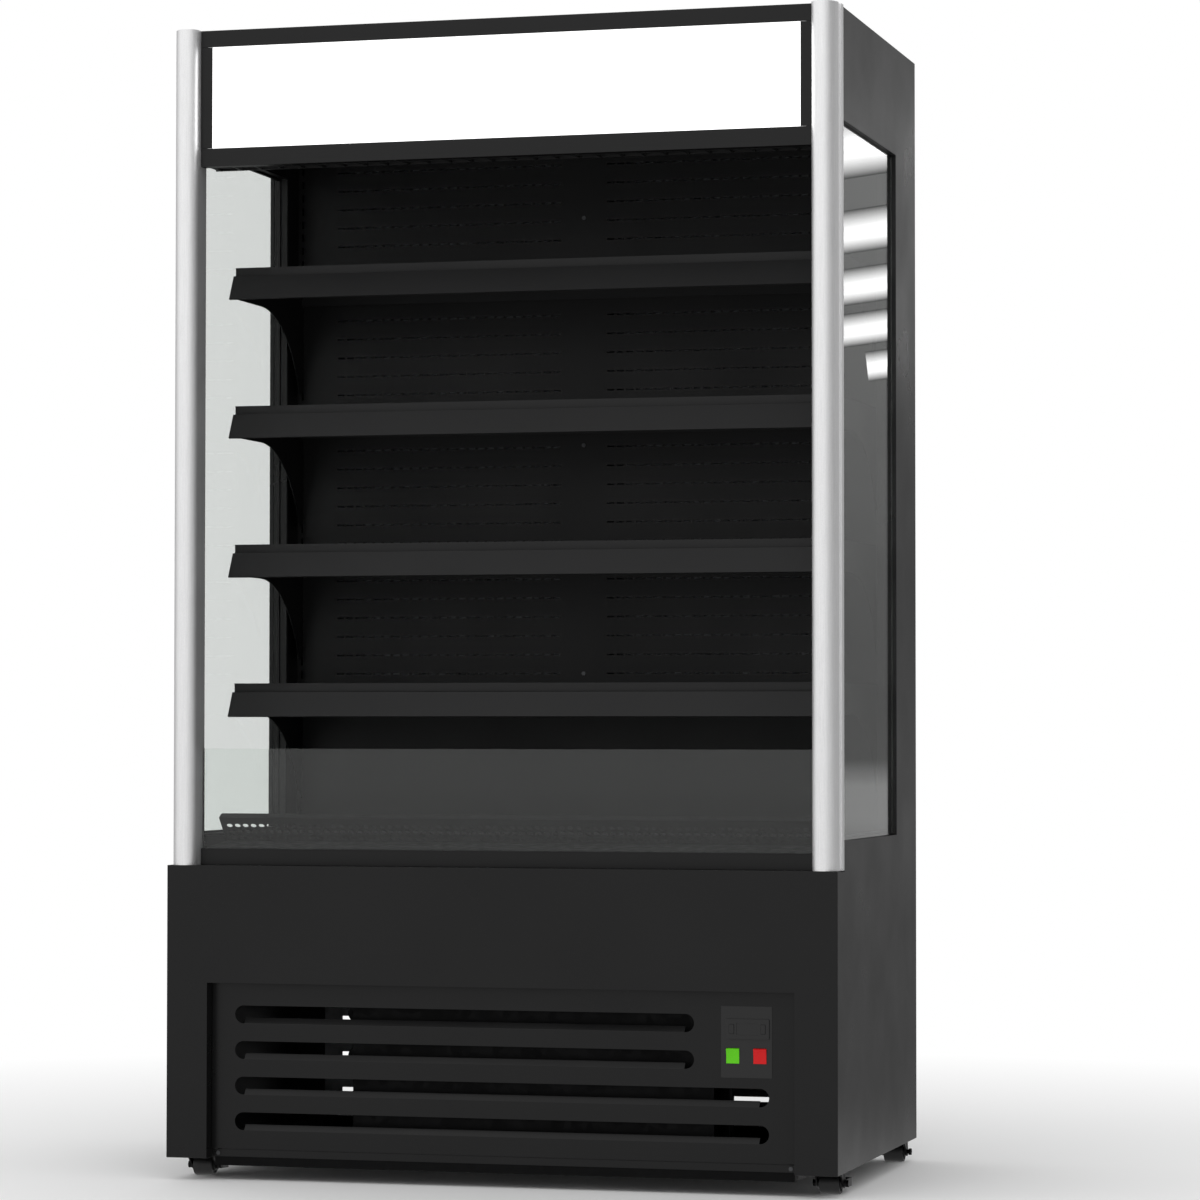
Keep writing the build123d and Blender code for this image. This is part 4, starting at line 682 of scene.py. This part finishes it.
class FRIDGE_OT_back_panel(bpy.types.Operator):
    """Back panel with its rows of short air slots"""

    bl_idname = "fridge.back_panel"
    bl_label = "Back panel"

    row_low: FloatProperty(
        name="Lowest row", description="Height of the lowest row of slots",
        unit="LENGTH", default=0.8925,
    )
    row_high: FloatProperty(
        name="Highest row", description="Height of the highest row of slots",
        unit="LENGTH", default=1.8372,
    )
    block_inner: FloatProperty(
        name="Block start", description="Middle of the panel to the first slot of a block",
        unit="LENGTH", default=0.045,
    )
    block_outer: FloatProperty(
        name="Block end", description="Middle of the panel to the end of a block",
        unit="LENGTH", default=0.481,
    )
    sheet: FloatProperty(
        name="Sheet", description="Thickness of the sheet", unit="LENGTH", default=0.0015,
    )

    def execute(self, context):
        sheets = context.scene.fridge_sheets
        low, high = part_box("back_panel")
        count = sheets.slots_in_row
        pitch = (self.block_outer - self.block_inner + sheets.slot_gap) / count
        starts = [self.block_inner + pitch * i for i in range(count)]
        ends = [start + pitch - sheets.slot_gap for start in starts]
        right = sorted(starts + ends)
        columns = [low.x] + [-x for x in reversed(right)] + right + [high.x]
        row_pitch = (self.row_high - self.row_low) / (sheets.slot_rows - 1)
        middles = [self.row_low + row_pitch * i for i in range(sheets.slot_rows)]
        half = sheets.slot_height / 2
        rows = [low.z] + sorted([z - half for z in middles] + [z + half for z in middles]) + [high.z]

        def is_slot(x, z):
            in_row = any(abs(z - middle) < half for middle in middles)
            return in_row and any(start < abs(x) < end for start, end in zip(starts, ends))

        bm = bmesh.new()
        grid_between(bm, columns, rows, is_slot)
        upright = Matrix.Translation((0, low.y + self.sheet / 2, 0)) @ Matrix.Rotation(pi / 2, 4, "X")
        bmesh.ops.transform(bm, matrix=upright, verts=bm.verts)
        for place in (low.x, high.x):
            fold_on(bm, edge_loop_at(bm, 0, place), (0, high.y - low.y - self.sheet / 2, 0))
        bmesh.ops.recalc_face_normals(bm, faces=bm.faces)
        panel = new_piece("back_panel_slotted", bm, "back_panel", [thickness(self.sheet)])
        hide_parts("back_panel")
        return {"FINISHED"}


class FRIDGE_OT_return_grille(bpy.types.Operator):
    """Return grille with three rows of rounded holes at full number"""

    bl_idname = "fridge.return_grille"
    bl_label = "Return grille"

    lip: FloatVectorProperty(
        name="Lip", description="Folded-back top edge: behind the front, height",
        size=2, unit="LENGTH", default=(0.1335, 0.6387),
    )
    nose: FloatVectorProperty(
        name="Nose", description="Top fold: behind the front, height",
        size=2, unit="LENGTH", default=(0.1208, 0.6320),
    )
    foot: FloatVectorProperty(
        name="Foot", description="Bottom fold: behind the front, height",
        size=2, unit="LENGTH", default=(0.1580, 0.5890),
    )
    toe: FloatVectorProperty(
        name="Toe", description="Front edge, beside the glass rail: behind the front, height",
        size=2, unit="LENGTH", default=(0.0566, 0.5800),
    )
    row_pitch: FloatProperty(
        name="Row spacing", description="Middle to middle of two rows of holes",
        unit="LENGTH", default=0.0138,
    )
    row_middle: FloatProperty(
        name="Middle row", description="Nose to the middle row of holes",
        unit="LENGTH", default=0.0324,
    )
    rows: IntProperty(name="Rows", description="Rows of holes", default=3, min=1)
    pitch: FloatProperty(
        name="Hole spacing", description="Middle to middle of two holes",
        unit="LENGTH", default=0.0150,
    )
    sheet: FloatProperty(
        name="Sheet", description="Thickness of the sheet", unit="LENGTH", default=0.0015,
    )
    depth: FloatProperty(
        name="Cabinet depth", description="Depth of the cabinet, which stands about the origin",
        unit="LENGTH", default=0.695,
    )

    def execute(self, context):
        sheets = context.scene.fridge_sheets
        low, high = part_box("return_grille")
        bm = bmesh.new()
        rim = self.ring(bm, self.pitch, self.row_pitch, True)
        hole = self.ring(bm, sheets.hole_width, sheets.hole_height, False)
        bmesh.ops.bridge_loops(bm, edges=rim + hole)
        for count, step in (
            (sheets.hole_columns, (self.pitch, 0, 0)), (self.rows, (0, self.row_pitch, 0)),
        ):
            cell = bm.verts[:] + bm.edges[:] + bm.faces[:]
            for i in range(1, count):
                copy = bmesh.ops.duplicate(bm, geom=cell)["geom"]
                corners = [item for item in copy if isinstance(item, bmesh.types.BMVert)]
                bmesh.ops.translate(bm, verts=corners, vec=Vector(step) * i)
            bmesh.ops.remove_doubles(bm, verts=bm.verts, dist=1e-6)
        half = self.pitch * sheets.hole_columns / 2
        shift = (self.pitch / 2 - half, -self.row_pitch * (self.rows - 1) / 2, 0)
        bmesh.ops.translate(bm, verts=bm.verts, vec=shift)
        self.slope(bm)
        self.fold_sheet(bm)
        for place in (-half, half):
            edges = edge_loop_at(bm, 0, place)
            fold_on(bm, edges, ((high.x - half) * (1 if place > 0 else -1), 0, 0))
        bmesh.ops.recalc_face_normals(bm, faces=bm.faces)
        grille = new_piece("return_grille_holed", bm, "return_grille", [thickness(self.sheet)])
        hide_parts("return_grille")
        return {"FINISHED"}

    def ring(self, bm, wide, tall, square):
        """Eight-cornered loop, rounded or drawn out to a rectangle."""
        loop = bmesh.ops.create_circle(bm, segments=8, radius=0.5)["verts"]
        for vertex in loop:
            if square:
                reach = max(abs(vertex.co.x), abs(vertex.co.y))
                vertex.co *= 0.5 / reach
            vertex.co.x *= wide
            vertex.co.y *= tall
        return list({edge for vertex in loop for edge in vertex.link_edges})

    def place_of(self, corner):
        """Corner of the section in the cabinet, from its distance behind the front and its height."""
        return Vector((0, corner[0] - self.depth / 2, corner[1]))

    def slope(self, bm):
        """Lay the flat field of holes on the slope between the nose and the foot."""
        nose, foot = self.place_of(self.nose), self.place_of(self.foot)
        down = (foot - nose).normalized()
        middle = nose + down * self.row_middle
        turn = Matrix((
            (1, 0, 0, middle.x), (0, -down.y, down.z, middle.y),
            (0, -down.z, -down.y, middle.z), (0, 0, 0, 1),
        ))
        bmesh.ops.transform(bm, matrix=turn, verts=bm.verts)

    def fold_sheet(self, bm):
        """Draw the sheet on to the nose and the lip above, and to the foot and the toe below."""
        nose, lip, foot, toe = map(self.place_of, (self.nose, self.lip, self.foot, self.toe))
        heights = [vertex.co.z for vertex in bm.verts]
        for place, line in ((max(heights), (nose, lip)), (min(heights), (foot, toe))):
            edges = edge_loop_at(bm, 2, place)
            start = edges[0].verts[0].co.copy()
            start.x = 0
            for corner in line:
                edges = fold_on(bm, edges, corner - start)
                start = corner


class FRIDGE_OT_castor_tyres(bpy.types.Operator):
    """Turned castor wheels with rounded treads"""

    bl_idname = "fridge.castor_tyres"
    bl_label = "Castor tyres"

    bore: FloatProperty(
        name="Bore", description="Radius of the axle hole", unit="LENGTH", default=0.00405,
    )
    hub: FloatProperty(
        name="Hub", description="Radius of the hub", unit="LENGTH", default=0.0100,
    )
    dish: FloatProperty(
        name="Dish", description="Radius of the dish round the hub", unit="LENGTH", default=0.0140,
    )
    sink: FloatProperty(
        name="Dish depth", description="Tread side to the floor of the dish",
        unit="LENGTH", default=0.0020,
    )
    step: FloatProperty(
        name="Hub end", description="Hub end beyond the side of the tread",
        unit="LENGTH", default=0.0025,
    )

    def execute(self, context):
        sheets = context.scene.fridge_sheets
        for castor in CASTORS:
            node = f"castor_wheel_{castor}"
            low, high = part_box(node)
            middle = (low + high) / 2
            half, radius = (high.x - low.x) / 2, (high.z - low.z) / 2
            tread = half - self.step
            side = [
                (half, self.bore), (half, self.hub), (tread - self.sink, self.hub),
                (tread - self.sink, self.dish), (tread, self.dish), (tread, radius),
            ]
            outline = side + [(-x, r) for x, r in reversed(side)]
            bm = bmesh.new()
            ring = [bm.verts.new(middle + Vector((x, 0, r))) for x, r in outline]
            for first, second in zip(ring, ring[1:] + ring[:1]):
                bm.edges.new((first, second))
            bmesh.ops.spin(
                bm, geom=bm.verts[:] + bm.edges[:], cent=middle, axis=(1, 0, 0),
                angle=2 * pi, steps=56, use_merge=True,
            )
            bmesh.ops.remove_doubles(bm, verts=bm.verts, dist=1e-6)
            bmesh.ops.recalc_face_normals(bm, faces=bm.faces)
            tyre = new_piece(f"castor_tyre_{castor}", bm, node, [rounding(sheets.tyre_edge)])
            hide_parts(node)
        return {"FINISHED"}


# ------------------------------------------------------------------ studio
def facing_lamp(name, place, size, power):
    """Soft rectangular lamp turned to the middle of the cabinet, and not seen in gloss."""
    data = bpy.data.lights.new(name, "AREA")
    data.shape = "RECTANGLE"
    data.size, data.size_y = size
    data.energy = power
    lamp = bpy.data.objects.new(name, data)
    lamp.location = place
    lamp.visible_glossy = False
    way = Vector(LAMP_TARGET) - Vector(place)
    lamp.rotation_euler = way.to_track_quat("-Z", "Y").to_euler()
    bpy.context.scene.collection.objects.link(lamp)


def light_path(tree, kind):
    """1 where the ray is of a kind, or the number of its bounces of a kind."""
    return tree.nodes.new("ShaderNodeLightPath").outputs[kind]


def towards(tree, direction, side):
    """How far a direction points to one side, from -1 to 1."""
    node = tree.nodes.new("ShaderNodeVectorMath")
    node.operation = "DOT_PRODUCT"
    node.inputs[1].default_value = side
    tree.links.new(direction, node.inputs[0])
    return node.outputs["Value"]


def seen_through(tree):
    """1 on a ray that went through glass without a reflection on its way."""
    direct = compute(tree, "LESS_THAN", light_path(tree, "Glossy Depth"), 0.5)
    return compute(tree, "MULTIPLY", light_path(tree, "Is Transmission Ray"), direct)


def mix_numbers(tree, factor, first, second):
    """Number between two numbers or sockets."""
    node = tree.nodes.new("ShaderNodeMix")
    node.data_type = "FLOAT"
    for key, value in (("A", first), ("B", second)):
        if isinstance(value, (int, float)):
            node.inputs[key].default_value = value
        else:
            tree.links.new(value, node.inputs[key])
    tree.links.new(factor, node.inputs["Factor"])
    return node.outputs["Result"]


def studio_world(ambient):
    """White to the eye and through glass; in gloss, a studio lit from the front left."""
    world = bpy.data.worlds.new("studio")
    world.use_nodes = True
    tree = world.node_tree
    background = tree.nodes["Background"]
    background.inputs["Color"].default_value = (1, 1, 1, 1)
    place = tree.nodes.new("ShaderNodeTexCoord")
    axes = tree.nodes.new("ShaderNodeSeparateXYZ")
    tree.links.new(place.outputs["Generated"], axes.inputs["Vector"])
    key_side = towards(tree, place.outputs["Generated"], KEY_SIDE)
    bright = spread(tree, key_side, -0.35, 0.62, 0.12, 0.80)
    lift = spread(tree, axes.outputs["Z"], -0.20, 0.45, 0.66, 1.50)
    dark_side = towards(tree, place.outputs["Generated"], DARK_SIDE)
    rear = spread(tree, dark_side, 0.65, 0.92, 0.0, 1.0)
    rise = spread(tree, axes.outputs["Z"], 0.02, 0.15, 0.165, 0.36)
    horizon = spread(tree, axes.outputs["Z"], -0.014, -0.004, 0.45, 0.0)
    front = compute(tree, "MULTIPLY", bright, lift)
    gloss = mix_numbers(tree, rear, front, compute(tree, "MAXIMUM", rise, horizon))
    glossy = light_path(tree, "Is Glossy Ray")
    level = mix_numbers(tree, glossy, ambient, gloss)
    seen = compute(tree, "MAXIMUM", light_path(tree, "Is Camera Ray"), seen_through(tree))
    tree.links.new(mix_numbers(tree, seen, level, 1.0), background.inputs["Strength"])
    bpy.context.scene.world = world


def studio_floor(colour):
    """Pale floor that keeps the shadow near the cabinet and fades to white."""
    bm = bmesh.new()
    bmesh.ops.create_grid(bm, x_segments=1, y_segments=1, size=FLOOR_HALF)
    mesh = bpy.data.meshes.new("floor")
    bm.to_mesh(mesh)
    bm.free()
    floor = bpy.data.objects.new("floor", mesh)
    bpy.context.scene.collection.objects.link(floor)
    material, tree, shader = start_material("floor")
    point = object_point(tree)
    grain = noise(tree, point, 90.0, 4.0)
    tree.links.new(
        blend_colours(tree, grain, lighter(colour, -0.01), lighter(colour, 0.01)),
        shader.inputs["Base Color"],
    )
    shader.inputs["Roughness"].default_value = 0.55
    shader.inputs["Specular IOR Level"].default_value = 0.2
    length = tree.nodes.new("ShaderNodeVectorMath")
    length.operation = "LENGTH"
    tree.links.new(point, length.inputs[0])
    fade = spread(tree, length.outputs["Value"], 0.6, 2.8, 0.0, 1.0)
    axes = tree.nodes.new("ShaderNodeSeparateXYZ")
    tree.links.new(point, axes.inputs["Vector"])
    mirrored = compute(tree, "SUBTRACT", light_path(tree, "Is Glossy Ray"), seen_through(tree))
    mirrored = compute(tree, "MAXIMUM", mirrored, 0.0)
    far = spread(tree, length.outputs["Value"], 12.0, 28.0, 0.22, 0.45)
    dim = mix_numbers(tree, spread(tree, axes.outputs["Y"], -1.0, 1.5, 0.0, 1.0), 0.68, far)
    glow = tree.nodes.new("ShaderNodeEmission")
    tree.links.new(mix_numbers(tree, mirrored, 1.0, dim), glow.inputs["Strength"])
    fade = compute(tree, "MAXIMUM", fade, mirrored)
    mix = tree.nodes.new("ShaderNodeMixShader")
    tree.links.new(fade, mix.inputs["Fac"])
    tree.links.new(shader.outputs["BSDF"], mix.inputs[1])
    tree.links.new(glow.outputs["Emission"], mix.inputs[2])
    tree.links.new(mix.outputs["Shader"], tree.nodes["Material Output"].inputs["Surface"])
    mesh.materials.append(material)


def studio_cards():
    """Soft bright strips behind the right side, seen only as reflections in its glass."""
    material, tree, shader = start_material("light_card")
    shader.inputs["Base Color"].default_value = (0, 0, 0, 1)
    shader.inputs["Emission Color"].default_value = (1, 1, 1, 1)
    place = tree.nodes.new("ShaderNodeTexCoord")
    axes = tree.nodes.new("ShaderNodeSeparateXYZ")
    tree.links.new(place.outputs["UV"], axes.inputs["Vector"])
    lower = spread(tree, axes.outputs["Y"], 0.0, 0.3, 0.0, 1.0)
    upper = spread(tree, axes.outputs["Y"], 0.6, 1.0, 1.0, 0.0)
    glow = compute(tree, "MULTIPLY", compute(tree, "MULTIPLY", lower, upper), CARD_GLOW)
    tree.links.new(glow, shader.inputs["Emission Strength"])
    for i, (low, high, left, right) in enumerate(CARD_BANDS):
        bm = bmesh.new()
        bm.loops.layers.uv.new("UVMap")
        bmesh.ops.create_grid(bm, x_segments=1, y_segments=1, size=0.5, calc_uvs=True)
        bmesh.ops.scale(bm, vec=(right - left, high - low, 1), verts=bm.verts)
        upright = (
            Matrix.Translation(((left + right) / 2, CARD_DISTANCE, (low + high) / 2))
            @ Matrix.Rotation(CARD_LEAN, 4, "Y") @ Matrix.Rotation(pi / 2, 4, "X")
        )
        bmesh.ops.transform(bm, matrix=upright, verts=bm.verts)
        mesh = bpy.data.meshes.new(f"light_card_{i}")
        bm.to_mesh(mesh)
        bm.free()
        mesh.materials.append(material)
        card = bpy.data.objects.new(f"light_card_{i}", mesh)
        bpy.context.scene.collection.objects.link(card)
        card.visible_camera = False
        card.visible_diffuse = False
        card.visible_transmission = False
        card.visible_shadow = False


class FRIDGE_OT_studio(bpy.types.Operator):
    """Floor, lamps, background and the camera"""

    bl_idname = "fridge.studio"
    bl_label = "Studio"

    def execute(self, context):
        scene = context.scene
        studio = scene.fridge_studio
        data = bpy.data.cameras.new("camera")
        data.sensor_width = 36.0
        data.lens = studio.lens
        data.clip_end = 200.0
        camera = bpy.data.objects.new("camera", data)
        scene.collection.objects.link(camera)
        camera.matrix_world = (
            Matrix.Translation(studio.camera_place)
            @ Matrix.Rotation(studio.camera_turn, 4, "Z")
            @ Matrix.Rotation(pi / 2 + studio.camera_tilt, 4, "X")
            @ Matrix.Rotation(studio.camera_roll, 4, "Z")
        )
        scene.camera = camera
        facing_lamp("key", KEY_PLACE, KEY_SIZE, studio.key_power)
        facing_lamp("fill", FILL_PLACE, FILL_SIZE, studio.fill_power)
        studio_world(studio.ambient)
        studio_floor(studio.floor_colour)
        studio_cards()
        scene.view_settings.view_transform = "Standard"
        return {"FINISHED"}


class FRIDGE_PT_panel(bpy.types.Panel):
    """Buttons of the display fridge"""

    bl_idname = "FRIDGE_PT_panel"
    bl_label = "Display fridge"
    bl_space_type = "VIEW_3D"
    bl_region_type = "UI"
    bl_category = "Display fridge"

    def draw(self, context):
        for operator in OPERATORS:
            self.layout.operator(operator.bl_idname)
        for group in (
            context.scene.fridge_finish, context.scene.fridge_sheets, context.scene.fridge_studio,
        ):
            box = self.layout.box()
            for key in group.__annotations__:
                box.prop(group, key)


OPERATORS = (
    FRIDGE_OT_finishes, FRIDGE_OT_eased_edges, FRIDGE_OT_posts, FRIDGE_OT_back_panel,
    FRIDGE_OT_return_grille, FRIDGE_OT_castor_tyres, FRIDGE_OT_studio,
)
CLASSES = (FridgeFinish, FridgeSheets, FridgeStudio, *OPERATORS, FRIDGE_PT_panel)


def register():
    """Add the classes and the settings."""
    for item in CLASSES:
        bpy.utils.register_class(item)
    bpy.types.Scene.fridge_finish = PointerProperty(type=FridgeFinish)
    bpy.types.Scene.fridge_sheets = PointerProperty(type=FridgeSheets)
    bpy.types.Scene.fridge_studio = PointerProperty(type=FridgeStudio)


def unregister():
    """Remove the settings and the classes."""
    del bpy.types.Scene.fridge_studio
    del bpy.types.Scene.fridge_sheets
    del bpy.types.Scene.fridge_finish
    for item in reversed(CLASSES):
        bpy.utils.unregister_class(item)


def main():
    """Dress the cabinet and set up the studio."""
    register()
    bpy.ops.fridge.finishes()
    bpy.ops.fridge.eased_edges()
    bpy.ops.fridge.posts()
    bpy.ops.fridge.back_panel()
    bpy.ops.fridge.return_grille()
    bpy.ops.fridge.castor_tyres()
    bpy.ops.fridge.studio()


if __name__ == "__main__":
    main()
